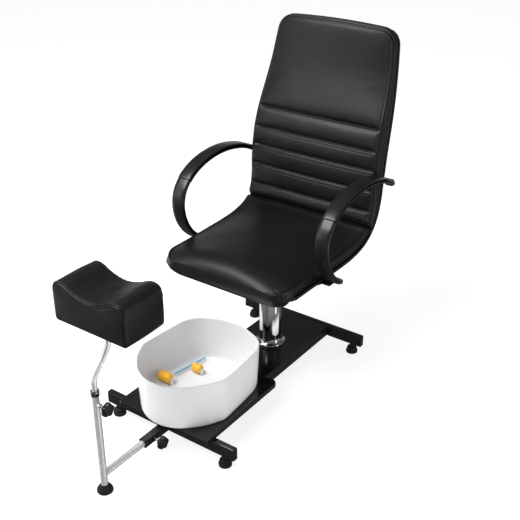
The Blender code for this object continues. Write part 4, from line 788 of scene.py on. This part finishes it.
def channel_dip(x, run):
    """The sewn channels: a bell at each, exp(-(distance / reach)^2), fading out near the sides."""
    bells = np.exp(-((run[..., None] - CHANNELS) / CHANNEL_REACH) ** 2).sum(axis=-1)
    return CHANNEL_DEPTH * bells * (1 - eased((np.abs(x) / half_width(run) - 0.88) / 0.10))


def arched(points, x, run):
    """The top edge rises towards the middle, as a flat arch."""
    points = points.copy()
    points[..., 2] += TOP_ARCH * eased(1 - (LINE_LENGTH - run) / 0.100) * (1 - (x / 0.216) ** 2)
    return points


rows = spaced(CREASE + 0.0006, LINE_LENGTH - TOP_CORNER, 0.0078, CHANNELS, 0.008, 0.0028)
turns = np.radians(np.linspace(8.0, 90.0, 11))
across = spaced(-1.0, 1.0, 0.034, edge=0.25)


def pattern_lay(face_lay, edge_x, edge_run):
    """What each point of a cushion carries: its place on the pattern, and how far it lies in from the seam,
    below 0 on the border's loops and -90 mm on the rear."""
    face_lay = face_lay.reshape(-1, 3)
    border = [np.stack([edge_x, edge_run, np.full(len(edge_x), -distance)], axis=-1) for distance in BORDER_DEPTHS]
    return np.concatenate([face_lay, face_lay * (1.0, 1.0, 0.0) + (0.0, 0.0, -0.09), *border])


def border_of(loop, seam_angle):
    """A cushion's border: three loops on its upper round from the seam, four down its side, two on its lower
    round."""
    upper = [loop(angle=seam_angle + (math.pi / 2 - seam_angle) * part) for part in (0.33, 0.67, 1.0)]
    side = [loop(down=part) for part in (0.25, 0.5, 0.75, 1.0)]
    return upper + side + [loop(low_angle=math.radians(part)) for part in (60, 30)]


def back_face_at(inset):
    """The back's face panel with its edge at an inset: its points, and their x and run on the pattern."""
    x, run = plan(rows, inset, across, turns)
    off = back_off(x, run) - rounding(inward(x, run), BACK_ROUND) - channel_dip(x, run)
    return arched(wrapped(x, run, off), x, run), x, run


def back_loop(angle=None, down=None, low_angle=None):
    """One loop of the border: on the upper round at an angle, on the side at a fraction of its way down, or on
    the lower round at an angle."""
    low_round = 0.009
    if angle is not None:
        inset, drop = BACK_ROUND * (1 - np.sin(angle)), BACK_ROUND * (1 - np.cos(angle))
    elif down is not None:
        inset, drop = -0.0020 * np.sin(np.pi * down), BACK_ROUND
    else:
        inset = low_round * (1 - np.sin(low_angle))
    x, run = (loop_of(grid) for grid in plan(rows, inset, across, turns))
    base = CUSHION_LOW + side_lift(x, run)
    if low_angle is not None:
        off = base + low_round * (1 - np.cos(low_angle))
    else:
        off = back_off(x, run) - drop
    if down is not None:
        off = off + (base + low_round - off) * down
    return arched(wrapped(x, run, off), x, run)


back_face, x, run = back_face_at(FACE_SEAM)
face_lay = np.stack([x, run, inward(x, run) - FACE_SEAM], axis=-1)
x, run = plan(rows, 0.009, across, turns)
back_rear = arched(wrapped(x, run, CUSHION_LOW + side_lift(x, run)), x, run)
points, quads = boxed(back_face, back_rear, border_of(back_loop, math.asin(1 - FACE_SEAM / BACK_ROUND)))
edge_x, edge_run = (loop_of(grid) for grid in plan(rows, 0.0, across, turns))
back_lay = pattern_lay(face_lay, edge_x, edge_run)


def evened(mesh, shift, times):
    """A table of shifts whose every row becomes the mean of its own and its neighbours', this many times
    over."""
    ends = np.empty(len(mesh.edges) * 2, dtype=np.int32)
    mesh.edges.foreach_get("vertices", ends)
    near, far = ends.reshape(-1, 2).T
    count = len(shift)
    shares = 1.0 + np.bincount(near, minlength=count) + np.bincount(far, minlength=count)
    for _ in range(times):
        total = shift.copy()
        for k in range(3):
            total[:, k] += np.bincount(near, shift[far, k], count) + np.bincount(far, shift[near, k], count)
        shift = total / shares[:, None]
    return shift


def swelled(piece, held, slack, cap, calm):
    """Let the filling swell a piece: a cloth simulation with pressure inside and some points held. Its small
    folds are evened out, and no point moves more than the cap. It is worked into the mesh, and none of it stays
    on the piece."""
    before = places_of(piece.data)
    group = piece.vertex_groups.new(name="held")
    group.add(np.flatnonzero(held).tolist(), 1.0, "REPLACE")
    cloth = piece.modifiers.new("swelling", "CLOTH")
    cloth.settings.vertex_group_mass = "held"
    cloth.settings.quality = 4
    cloth.settings.mass = 0.3
    cloth.settings.tension_stiffness = cloth.settings.compression_stiffness = 15.0
    cloth.settings.bending_stiffness = 0.6
    cloth.settings.use_pressure = True
    cloth.settings.uniform_pressure_force = 4.0
    cloth.settings.shrink_min = -slack
    cloth.settings.effector_weights.gravity = 0.0
    cloth.point_cache.frame_start, cloth.point_cache.frame_end = 1, 20
    for frame_number in range(1, 21):
        bpy.context.scene.frame_set(frame_number)
    evaluated = piece.evaluated_get(bpy.context.evaluated_depsgraph_get())
    shift = places_of(evaluated.data) - before
    piece.modifiers.clear()
    piece.vertex_groups.clear()
    bpy.context.scene.frame_set(1)
    shift = evened(piece.data, shift, calm) * ~held[:, None]
    length = np.linalg.norm(shift, axis=1, keepdims=True)
    moved(piece, shift * (cap * np.tanh(length / cap) / np.maximum(length, 1e-9)))


def ripple(along, wavelength, seed):
    """Uneven waves along a seam: the mean of five sines whose lengths and starts are drawn from a seeded
    table."""
    drawn = np.random.default_rng(seed).uniform(size=(5, 2))
    waves = [np.sin(2 * np.pi * (along / (wavelength * (0.55 + 1.1 * length)) + start)) for length, start in drawn]
    return np.mean(waves, axis=0) * 1.6


def seam_relief(inset, along, seed):
    """The shape of a sewn edge against the distance in from it: a groove on the seam, a small roll on either
    side, a top-stitched line 8 mm in, and puckers across both."""
    pucker = ripple(along, 0.013, seed)
    relief = -0.0028 * np.exp(-(inset / 0.0018) ** 2) + 0.0012 * np.exp(-((np.abs(inset) - 0.0044) / 0.0020) ** 2)
    relief += -0.0009 * np.exp(-((inset - STITCH_INSET) / 0.0011) ** 2)
    return relief + 0.00018 * pucker * np.exp(-((inset - 0.006) / 0.008) ** 2)


back_panel = skinned("back_panel", points, quads, leathercloth, "seat", "black_leather", ["back_cushion"], back_lay)
lay = lay_of(back_panel.data)
near_channel = np.abs(lay[:, 1, None] - CHANNELS).min(axis=1) < 0.0012
held = (lay[:, 2] < 0.0005) | (lay[:, 1] < CREASE + 0.004) | (near_channel & (np.abs(lay[:, 0]) < 0.235))
swelled(back_panel, held, 0.002, 0.006, 2)
worked = with_one_division(back_panel)
lay = lay_of(worked)
on_face = np.clip(lay[:, 2] / 0.010, 0.0, 1.0)
reach = np.abs(lay[:, 0]) / half_width(lay[:, 1])
gap = lay[:, 1, None] - CHANNELS
tucked = (1 - eased((reach - 0.86) / 0.12)) * on_face
crease_line = (-0.0026 * np.exp(-((gap + 0.0004) / 0.0014) ** 2)
               - 0.0014 * np.exp(-((gap + 0.0105) / 0.0013) ** 2)
               + 0.0009 * np.exp(-((gap + 0.0055) / 0.0026) ** 2))
gathers = sum(0.00007 * ripple(lay[:, 0], 0.026, 11 + k) * np.exp(-((gap[:, k]) / 0.011) ** 2) for k in range(5))
relief = crease_line.sum(axis=1) * tucked + gathers * tucked
around = np.where(LINE_LENGTH - lay[:, 1] < half_width(lay[:, 1]) - np.abs(lay[:, 0]), lay[:, 0], lay[:, 1])
relief += seam_relief(lay[:, 2], around, 3) * (lay[:, 1] > CREASE + 0.012)
relief += 0.0009 * ripple(lay[:, 1], 0.16, 31) * ripple(lay[:, 0], 0.21, 32) * on_face
moved(back_panel, normals_of(worked) * relief[:, None])

sewing_thread, tree, shader, place = base_finish("sewing_thread", (0.030, 0.030, 0.032))
twist = add(tree, "TexWave", {"Vector": place, "Scale": 900.0, "Distortion": 2.0}).outputs["Fac"]
tree.links.new(between(tree, twist, 0.5, 0.7), shader.inputs["Roughness"])


def stitched(name, line, host, body, pitch=0.0046, length=0.0030, thread=0.00042):
    """A row of stitches along a line, laid on the nearest points of its host: each is a small six-sided capsule
    whose ends dip into the cover, radius thread * sqrt(1 - s^2) and height thread * (1 - 1.6 s^2) for s from -1
    to 1."""
    step = np.linalg.norm(np.diff(line, axis=0), axis=1)
    walked = np.concatenate([[0.0], np.cumsum(step)])
    at = np.arange(pitch / 2, walked[-1], pitch)
    middle = np.stack([np.interp(at, walked, line[:, k]) for k in range(3)], axis=1)
    along = np.stack([np.interp(at + 0.001, walked, line[:, k]) for k in range(3)], axis=1) - middle
    along = along / np.maximum(np.linalg.norm(along, axis=1, keepdims=True), 1e-9)
    cover, outward = places_of(host.data), normals_of(host.data)
    box_low, box_high = middle.min(axis=0) - 0.03, middle.max(axis=0) + 0.03
    near = np.all((cover > box_low) & (cover < box_high), axis=1)
    cover, outward = cover[near], outward[near]
    nearest = np.concatenate([np.argmin(((cover[None] - part[:, None]) ** 2).sum(axis=2), axis=1)
                              for part in np.array_split(middle, max(1, len(middle) // 24))])
    up = outward[nearest]
    rise = ((cover[nearest] - middle) * up).sum(axis=1, keepdims=True)
    middle = middle + up * rise
    aside = np.cross(along, up)
    s = np.linspace(-0.98, 0.98, 6)[:, None]
    turn = full_turn(6)[None, :]
    radius = thread * np.sqrt(1 - s ** 2)
    forward, over = s * length / 2 + 0 * turn, radius * np.cos(turn)
    high = radius * np.sin(turn) + thread * (0.9 - 1.5 * s ** 2)
    points = (middle[:, None, None] + along[:, None, None] * forward[..., None]
              + aside[:, None, None] * over[..., None] + up[:, None, None] * high[..., None]).reshape(-1, 3)
    number = np.arange(36).reshape(6, 6)
    quads = np.stack([number[:-1], np.roll(number[:-1], -1, axis=1), np.roll(number[1:], -1, axis=1), number[1:]],
                     axis=-1).reshape(-1, 4)
    ends = np.array([[0, 1, 2, 3], [0, 3, 4, 5], [30, 33, 32, 31], [30, 35, 34, 33]])
    one = np.concatenate([quads, ends])
    every = (one[None] + 36 * np.arange(len(middle))[:, None, None]).reshape(-1, 4)
    return skinned(name, points, every, sewing_thread, body, "black_leather")


def edge_line(grid, skip_start):
    """The sides and far end of a panel's edge as one open line, without its first rows at the near end."""
    return np.concatenate([grid[skip_start:-1, 0], grid[-1, :-1], grid[:skip_start:-1, -1]])


stitched("back_top_stitching", edge_line(back_face_at(FACE_SEAM + STITCH_INSET)[0], 6), back_panel, "seat")


# ---------------------------------------------------------------- seat cushion
# Thick foam under leathercloth. The face panel runs down over a rounded nose and is tucked in under it. At
# the sides it is sewn to a border, which the maker gathers where it turns the front corners.
NOSE, NOSE_TIP, NOSE_CORNER = 0.080, 0.056, 0.074
SEAT_SEAM = 0.0075
SEAT_HIGH, SEAT_CROWN, REAR_FLATTER = 0.0776, 0.036, 0.022

# Stations from the crease to under the nose: run, share of the nose's turn (1 on the flat seat and 0 at the
# tip) and half width.
flat = spaced(0.0, CREASE - 0.0006, 0.0085, edge=0.6)[::-1]
turn = np.radians(np.linspace(0.0, 87.0, 25)[1:])
run_line = np.concatenate([flat, -NOSE * np.sin(turn) - 0.0018])
share_line = np.concatenate([np.ones(len(flat)), np.cos(turn) ** 0.82])
half_line = half_width(np.clip(run_line, 0.0, None))
half_line[len(flat):] -= rounding(NOSE * (1 - np.sin(turn)) + 0.002, NOSE_CORNER)
across = spaced(-1.0, 1.0, 0.034, edge=0.25)
rear_part = eased(1 - (CREASE - run_line) / 0.150)
fall_line = CREASE_FALL * (1 - np.clip((CREASE - run_line) / 0.030, 0.0, 1.0)) ** 2
high_line = np.where(share_line < 1, NOSE_TIP + (SEAT_HIGH - NOSE_TIP) * share_line, SEAT_HIGH - fall_line)
low_line = np.where(share_line < 1, NOSE_TIP - (NOSE_TIP + 0.004) * share_line, CUSHION_LOW)
low_line += (CUSHION_LOW + 0.004) * np.clip((share_line - 0.9) / 0.1, 0.0, 1.0) * (share_line < 1)
crown_line = (SEAT_CROWN - REAR_FLATTER * rear_part) * share_line
thick_line = high_line - low_line
round_line = np.minimum(0.025, thick_line * 0.55)
lower_line = np.minimum(0.012, thick_line * 0.30)


def seat_lift(x, run, thick):
    """The shell's lift at the sides, fading out where the nose gets thin."""
    return side_lift(x, np.clip(run, 0.0, None)) * np.clip(thick / 0.05, 0.0, 1.0)


def seat_grid(inset):
    """Places (x, run) of a panel whose side edges are set in, and the rows' high, low and thick, as grids."""
    x = (half_line - inset)[:, None] * across
    return x, *(np.repeat(line[:, None], len(across), axis=1)
                for line in (run_line, high_line, low_line, thick_line, crown_line, half_line))


def seat_border(angle=None, down=None, low_angle=None):
    """One loop of the seat's border, as on the back: on the upper round, on the side, or on the lower round."""
    if angle is not None:
        inset, drop = round_line * (1 - np.sin(angle)), round_line * (1 - np.cos(angle))
    elif down is not None:
        inset = -(0.0020 + 0.0030 * eased(1 - run_line / 0.120)) * np.sin(np.pi * down)
        drop = round_line
    else:
        inset, drop = lower_line * (1 - np.sin(low_angle)), round_line
    x, run, high, low, thick, crown, half = (loop_of(grid) for grid in seat_grid(inset))
    drop, lower = (loop_of(np.repeat(line[:, None], len(across), axis=1)) for line in (drop, lower_line))
    base = low + seat_lift(x, run, thick)
    top = high + crown * (1 - (x / half) ** 2) - drop
    if low_angle is not None:
        off = base + lower * (1 - np.cos(low_angle))
    elif down is not None:
        off = top + (base + lower - top) * down
    else:
        off = top
    return wrapped(x, run, off)


def seat_face_at(inset):
    """The seat's face panel with its side edges at an inset: its points, and their x, run and half width."""
    x, run, high, low, thick, crown, half = seat_grid(inset)
    off = high + crown * (1 - (x / half) ** 2) - rounding(half - np.abs(x), round_line[:, None])
    return wrapped(x, run, off), x, run, half


seam_part = np.minimum(SEAT_SEAM, round_line * 0.30)
seat_face, x, run, half = seat_face_at(seam_part)
face_lay = np.stack([x, run, half - np.abs(x) - seam_part[:, None]], axis=-1)
x, run, high, low, thick, crown, half = seat_grid(lower_line)
seat_rear = wrapped(x, run, low + seat_lift(x, run, thick))
points, quads = boxed(seat_face, seat_rear, border_of(seat_border, np.arcsin(1 - seam_part / round_line)))
edge_x, edge_run = (loop_of(grid) for grid in seat_grid(0.0)[:2])
seat_lay = pattern_lay(face_lay, edge_x, edge_run)
seat_pad = skinned("seat_pad", points, quads, leathercloth, "seat", "black_leather", ["seat_cushion"], seat_lay)
lay = lay_of(seat_pad.data)
held = ((lay[:, 2] < 0.0005) & (lay[:, 1] > -0.066)) | (lay[:, 1] > CREASE - 0.004)
held |= (lay[:, 2] < -0.05) & (lay[:, 1] > -0.030)
swelled(seat_pad, held, 0.003, 0.007, 4)
worked = with_one_division(seat_pad)
lay = lay_of(worked)
on_face = np.clip(lay[:, 2] / 0.010, 0.0, 1.0)
along_side = (lay[:, 1] > -0.070) & (lay[:, 1] < CREASE - 0.012)
relief = seam_relief(lay[:, 2], lay[:, 1], 5) * along_side
corner_gather = np.exp(-((lay[:, 1] + 0.045) / 0.035) ** 2) * np.exp(-((lay[:, 2] - 0.004) / 0.012) ** 2)
relief += 0.0011 * ripple(lay[:, 1], 0.010, 41) * corner_gather
relief += 0.0011 * ripple(lay[:, 1], 0.19, 42) * ripple(lay[:, 0], 0.23, 43) * on_face
drawn = np.exp(-((CREASE - lay[:, 1] - 0.012) / 0.020) ** 2)
relief += 0.0007 * ripple(lay[:, 0], 0.034, 44) * drawn * on_face
moved(seat_pad, normals_of(worked) * relief[:, None])

seam_rows = seat_face_at(seam_part + STITCH_INSET)[0][(run_line > -0.068) & (run_line < CREASE - 0.012)]
stitched("seat_left_stitching", seam_rows[:, -1], seat_pad, "seat")
stitched("seat_right_stitching", seam_rows[:, 0], seat_pad, "seat")


# ---------------------------------------------------------------- leg-rest cushion
# A foam block with a valley for the calf. One band of leathercloth goes all round it, and a panel is sewn in
# at the front and at the rear with a piped, double-stitched seam. Its plate is screwed on from below.
REST_FRONT, REST_REAR = COLUMN_Y - 0.820, COLUMN_Y - 0.668
REST_ROUND = 0.0095
REST_OUTLINE = np.array([
    (0.000, 0.6178), (0.028, 0.6198), (0.054, 0.6282), (0.074, 0.6378), (0.089, 0.6424), (0.103, 0.6430),
    (0.1140, 0.6402), (0.1222, 0.6325), (0.1266, 0.6210), (0.1285, 0.604), (0.1290, 0.580), (0.1289, 0.552),
    (0.1283, 0.5345), (0.1248, 0.5252),
    (0.1160, 0.5222), (0.060, 0.5222), (0.000, 0.5222)])
whole = np.vstack([REST_OUTLINE, REST_OUTLINE[-2:0:-1] * (-1, 1)])
whole = np.vstack([whole[-1:], whole, whole[:2]])
fine, _ = through(whole, 4000)
first = np.argmin(np.hypot(*(fine[:600] - whole[1]).T))
last = 3400 + np.argmin(np.hypot(*(fine[3400:] - whole[1]).T))
fine = fine[first:last]


def outline_run(start, end, count):
    """Places along the cushion's outline between two of its corners, going round clockwise from the first."""
    near, far = (np.argmin(np.hypot(*(fine - corner).T)) for corner in (start, end))
    far += len(fine) if far < near else 0
    picks = np.round(np.linspace(near, far, count + 1)).astype(int) % len(fine)
    return fine[picks]


top_left, top_right = (-0.1160, 0.6335), (0.1160, 0.6335)
low_left, low_right = (-0.1262, 0.5275), (0.1262, 0.5275)
ACROSS, UPRIGHT = 84, 30
top_edge = outline_run(top_left, top_right, ACROSS)
right_edge = outline_run(top_right, low_right, UPRIGHT)[::-1]
low_edge = outline_run(low_right, low_left, ACROSS)[::-1]
left_edge = outline_run(low_left, top_left, UPRIGHT)


def filled(loop):
    """A grid of (x, z) that fills a closed loop: each place is the blend of the four edges beside it, less the
    blend of the four corners."""
    up, across = UPRIGHT, ACROSS
    left, top = loop[:up + 1], loop[up:up + across + 1]
    right = loop[up + across:2 * up + across + 1][::-1]
    low = np.vstack([loop[2 * up + across:], loop[:1]])[::-1]
    u, v = np.linspace(0, 1, across + 1)[None, :, None], np.linspace(0, 1, up + 1)[:, None, None]
    return ((1 - v) * low[None] + v * top[None] + (1 - u) * left[:, None] + u * right[:, None]
            - (1 - u) * (1 - v) * low[0] - u * (1 - v) * low[-1] - (1 - u) * v * top[0] - u * v * top[-1])


round_loop = np.vstack([left_edge[:-1], top_edge[:-1], right_edge[:0:-1], low_edge[:0:-1]])
upright_part = eased((0.628 - round_loop[:, 1]) / 0.030) * eased((np.abs(round_loop[:, 0]) - 0.098) / 0.022)
seam_turn = np.radians(42 - 22 * upright_part)[:, None]


def rest_ring(y_edge, way, share):
    """One loop of (x, z, y) on the round from the seam, share 0, to the band, share 1: set in by radius (1 -
    sin) and back from the panel by radius (1 - cos). The seam lies nearer the panel at the upright corners."""
    angle = seam_turn + (math.pi / 2 - seam_turn) * share
    loop = set_in(round_loop, REST_ROUND * (1 - np.sin(angle)))
    return np.hstack([loop, y_edge + way * REST_ROUND * (1 - np.cos(angle))])


def rest_panel(y_edge, way):
    """The front or rear panel: filled from the seam inwards, and puffed outwards by up to 4 mm."""
    grid = filled(rest_ring(y_edge, way, 0.0))
    u, v = np.linspace(-1, 1, ACROSS + 1)[None, :], np.linspace(-1, 1, UPRIGHT + 1)[:, None]
    level = np.clip((1 - u ** 8) * (1 - v ** 4), 0.0, 1.0)
    y = grid[..., 2] - (grid[..., 2] - y_edge + way * 0.0012) * level
    return np.stack([grid[..., 0], y, grid[..., 1]], axis=-1), 1 - np.maximum(np.abs(u) ** 3, np.abs(v))


front_panel, front_in = rest_panel(REST_FRONT, 1)
rear_panel, rear_in = rest_panel(REST_REAR, -1)
shares = (0.2, 0.4, 0.6, 0.8, 1.0)
ends = rest_ring(REST_FRONT, 1, 1.0), rest_ring(REST_REAR, -1, 1.0)
band = [rest_ring(REST_FRONT, 1, share)[:, [0, 2, 1]] for share in shares]
for share in np.linspace(0.0, 1.0, 17)[1:-1]:
    loop = ends[0] * (1 - share) + ends[1] * share
    loop[:, :2] = set_in(loop[:, :2], -0.0018 * math.sin(math.pi * share))
    band.append(np.stack([loop[:, 0], loop[:, 2], np.maximum(loop[:, 1], 0.5222)], axis=1))
band += [rest_ring(REST_REAR, -1, share)[:, [0, 2, 1]] for share in shares[::-1]]
points, quads = boxed(front_panel, rear_panel, band)
walk = np.concatenate([[0.0], np.cumsum(np.linalg.norm(np.diff(round_loop, axis=0), axis=1))])
panel_lay = [np.stack([grid[..., 0], grid[..., 2], inner * 0.055], axis=-1).reshape(-1, 3)
             for grid, inner in ((front_panel, front_in), (rear_panel, rear_in))]
seam_front, seam_rear = rest_ring(REST_FRONT, 1, 0.0)[:, 2], rest_ring(REST_REAR, -1, 0.0)[:, 2]
band_lay = [np.stack([loop[:, 0], walk, -np.minimum(loop[:, 1] - seam_front, seam_rear - loop[:, 1]) - 0.001],
                     axis=-1) for loop in band]
rest_lay = np.concatenate([*panel_lay, *band_lay])
leg_cushion = skinned("leg_rest_cushion", points, quads, leathercloth, "footrest", "black_leather",
                      ["footrest_cushion"], rest_lay)
lay, where = lay_of(leg_cushion.data), places_of(leg_cushion.data)
held = (np.abs(lay[:, 2]) < 0.0060) | (where[:, 2] < 0.5400)
swelled(leg_cushion, held, 0.0, 0.0025, 8)
worked = with_one_division(leg_cushion)
lay, where = lay_of(worked), places_of(worked)
above = eased((where[:, 2] - 0.602) / 0.016)
walked = where[:, 0] + where[:, 2]
relief = seam_relief(lay[:, 2], walked, 7) * above
relief += -0.0007 * np.exp(-((lay[:, 2] + 0.0085) / 0.0010) ** 2) * above
relief += 0.0003 * ripple(walked, 0.009, 51) * np.exp(-((lay[:, 2] + 0.004) / 0.008) ** 2) * above
relief += 0.0008 * ripple(where[:, 1], 0.085, 52) * ripple(where[:, 0], 0.110, 53) * above
moved(leg_cushion, normals_of(worked) * relief[:, None])
for end_name, edge, way in (("front", REST_FRONT, 1), ("rear", REST_REAR, -1)):
    loop = set_in(top_edge, -0.0005)
    line = np.stack([loop[:, 0], np.full(len(loop), edge + way * 0.0115), loop[:, 1]], axis=1)
    stitched("leg_rest_" + end_name + "_stitching", line, leg_cushion, "footrest")


# ---------------------------------------------------------------- armrests
# Each armrest is one moulded loop of hard foam. It widens in the middle, has a step for the soft pad, a round
# boss for the screw at its upper end, and a flat foot that is bolted up into the shell.
ARM_LINE = np.array([
    (0.314, 0.622), (0.286, 0.637), (0.240, 0.660), (0.180, 0.681), (0.105, 0.694), (0.035, 0.693),
    (-0.030, 0.680), (-0.083, 0.655), (-0.119, 0.620), (-0.134, 0.578), (-0.131, 0.535),
    (-0.115, 0.492), (-0.089, 0.455), (-0.058, 0.428), (-0.022, 0.408)])
ARM_INNER_X, ARM_THICK, ARM_HALF_AT_ENDS, ARM_HALF_SWELL = 0.2515, 0.0185, 0.0130, 0.0115
PAD_FROM, PAD_TO, PAD_STEP = 0.150, 0.600, 0.0085
BAND, _ = through(ARM_LINE, 800)
BAND_PART = np.linspace(0.0, 1.0, len(BAND))
BAND_ALONG = np.gradient(BAND, axis=0)
BAND_ANGLE = calmed(np.unwrap(np.arctan2(BAND_ALONG[:, 1], BAND_ALONG[:, 0])), 14)


def signed_power(values, power):
    """|values|^power with the sign of the values, which squares off a circle's cosine and sine."""
    return np.sign(values) * np.abs(values) ** power


def band_rings(part, low, high, squareness, side, narrower=0.0):
    """Closed rings round the band at parts of its length. A ring is a rounded oblong, x = half |cos|^(2/n) and
    off = middle + thick/2 |sin|^(2/n), between two heights off the band's middle line."""
    swell = eased((part + 0.02) / 0.17) * eased((1.08 - part) / 0.16)
    half = ARM_HALF_AT_ENDS + ARM_HALF_SWELL * swell
    turn = full_turn(56)
    across, up = (signed_power(wave(turn), 2 / squareness) for wave in (np.cos, np.sin))
    x = side * (ARM_INNER_X + half[:, None] + (half - narrower)[:, None] * across)
    off = ((low + high) / 2)[:, None] + ((high - low) / 2)[:, None] * up
    angle = np.interp(part, BAND_PART, BAND_ANGLE)[:, None]
    y = np.interp(part, BAND_PART, BAND[:, 0])[:, None] + off * np.sin(angle)
    z = np.interp(part, BAND_PART, BAND[:, 1])[:, None] - off * np.cos(angle)
    return np.stack([x, COLUMN_Y + y, z], axis=-1)


arm_black = finish("arm_black", [(0.0060, 0.0060, 0.0065)], (0.22, 0.38), (14.0, 5.0),
                   (950.0, 2.0, 0.14, 0.0002), Specular_IOR_Level=0.36)

BOSS_PLACE = (COLUMN_Y + 0.303, 0.629)
SCREW_RADIUS, SCREW_HEAD, BOLT_X, BOLT_YS = 0.0034, 0.0078, 0.160, (-0.052, -0.022)
FOOT_Y, FOOT_HALF, FOOT_THICK, SHELL_LOW = COLUMN_Y - 0.037, 0.028, 0.0070, 0.3836
foot_x = np.concatenate([np.linspace(0.148, 0.238, 10), [0.246, 0.253, 0.259, 0.265]])
for side_name, side in (("left", 1), ("right", -1)):
    part = np.unique(np.concatenate([np.linspace(0.0, 1.0, 110), PAD_FROM + np.array([-0.0016, -0.0002, 0.0014]),
                                     PAD_TO + np.array([-0.0014, 0.0002, 0.0016])]))
    stepped = ((part > PAD_FROM) & (part < PAD_TO)) * PAD_STEP
    tip = np.sqrt(np.clip(1 - (np.clip(0.010 - part, 0.0, None) / 0.010) ** 2, 0.02, 1.0))
    low, high = np.full(len(part), -ARM_THICK / 2), ARM_THICK / 2 - stepped
    middle = (low + high) / 2
    low, high = middle + (low - middle) * tip, middle + (high - middle) * tip
    points, faces = ringed(band_rings(part, low, high, 3.2, side))
    arm = skinned(side_name + "_arm_loop", points, faces, arm_black, "seat", "black_plastic",
                  [side_name + "_armrest"])
    boss = turned([(0.0100, 0.2512), (0.0117, 0.2522), (0.0120, 0.2535), (0.0120, 0.2722), (0.0117, 0.2735),
                   (0.0108, 0.2745)], 40, BOSS_PLACE, side)
    top = SHELL_LOW + side_lift(np.minimum(foot_x, 0.238), 0.170)
    turn = full_turn(32)
    y = FOOT_Y + FOOT_HALF * signed_power(np.cos(turn), 0.30)
    z = top[:, None] - FOOT_THICK / 2 + FOOT_THICK / 2 * signed_power(np.sin(turn), 0.45)
    foot = np.stack([np.repeat(side * foot_x[:, None], 32, axis=1), np.repeat(y[None], len(foot_x), axis=0), z],
                    axis=-1)
    screw_way = turned([(SCREW_RADIUS, 0.245), (SCREW_RADIUS, 0.2750), (SCREW_HEAD, 0.2750), (SCREW_HEAD, 0.310)],
                       24, BOSS_PLACE, side)
    bolt_ways = [upright([(SCREW_RADIUS, 0.365), (SCREW_RADIUS, 0.425)], COLUMN_Y + y, side * BOLT_X, 20)
                 for y in BOLT_YS]
    joined(arm, [solid("boss", boss), solid("foot", foot)],
           [solid("way", way) for way in (screw_way, *bolt_ways)], 38)

    inner = np.concatenate([PAD_FROM + np.array([0.0008, 0.0014, 0.0030, 0.0055]), np.linspace(0.162, 0.588, 62),
                            PAD_TO - np.array([0.0055, 0.0030, 0.0014, 0.0008])])
    ends = np.minimum(inner - PAD_FROM, PAD_TO - inner)
    top_round = np.sqrt(np.clip(1 - (1 - np.clip(ends / 0.0065, 0.0, 1.0)) ** 2, 0.0, 1.0))
    low = np.full(len(inner), ARM_THICK / 2 - PAD_STEP + 0.0004)
    high = low + (PAD_STEP - 0.0004 + 0.0012) * (0.55 + 0.45 * top_round)
    points, faces = ringed(band_rings(inner, low, high, 2.7, side, 0.0004))
    pad = skinned(side_name + "_soft_arm_pad", points, faces, arm_black, "seat", "black_plastic",
                  [side_name + "_arm_pad"], sharp=50)
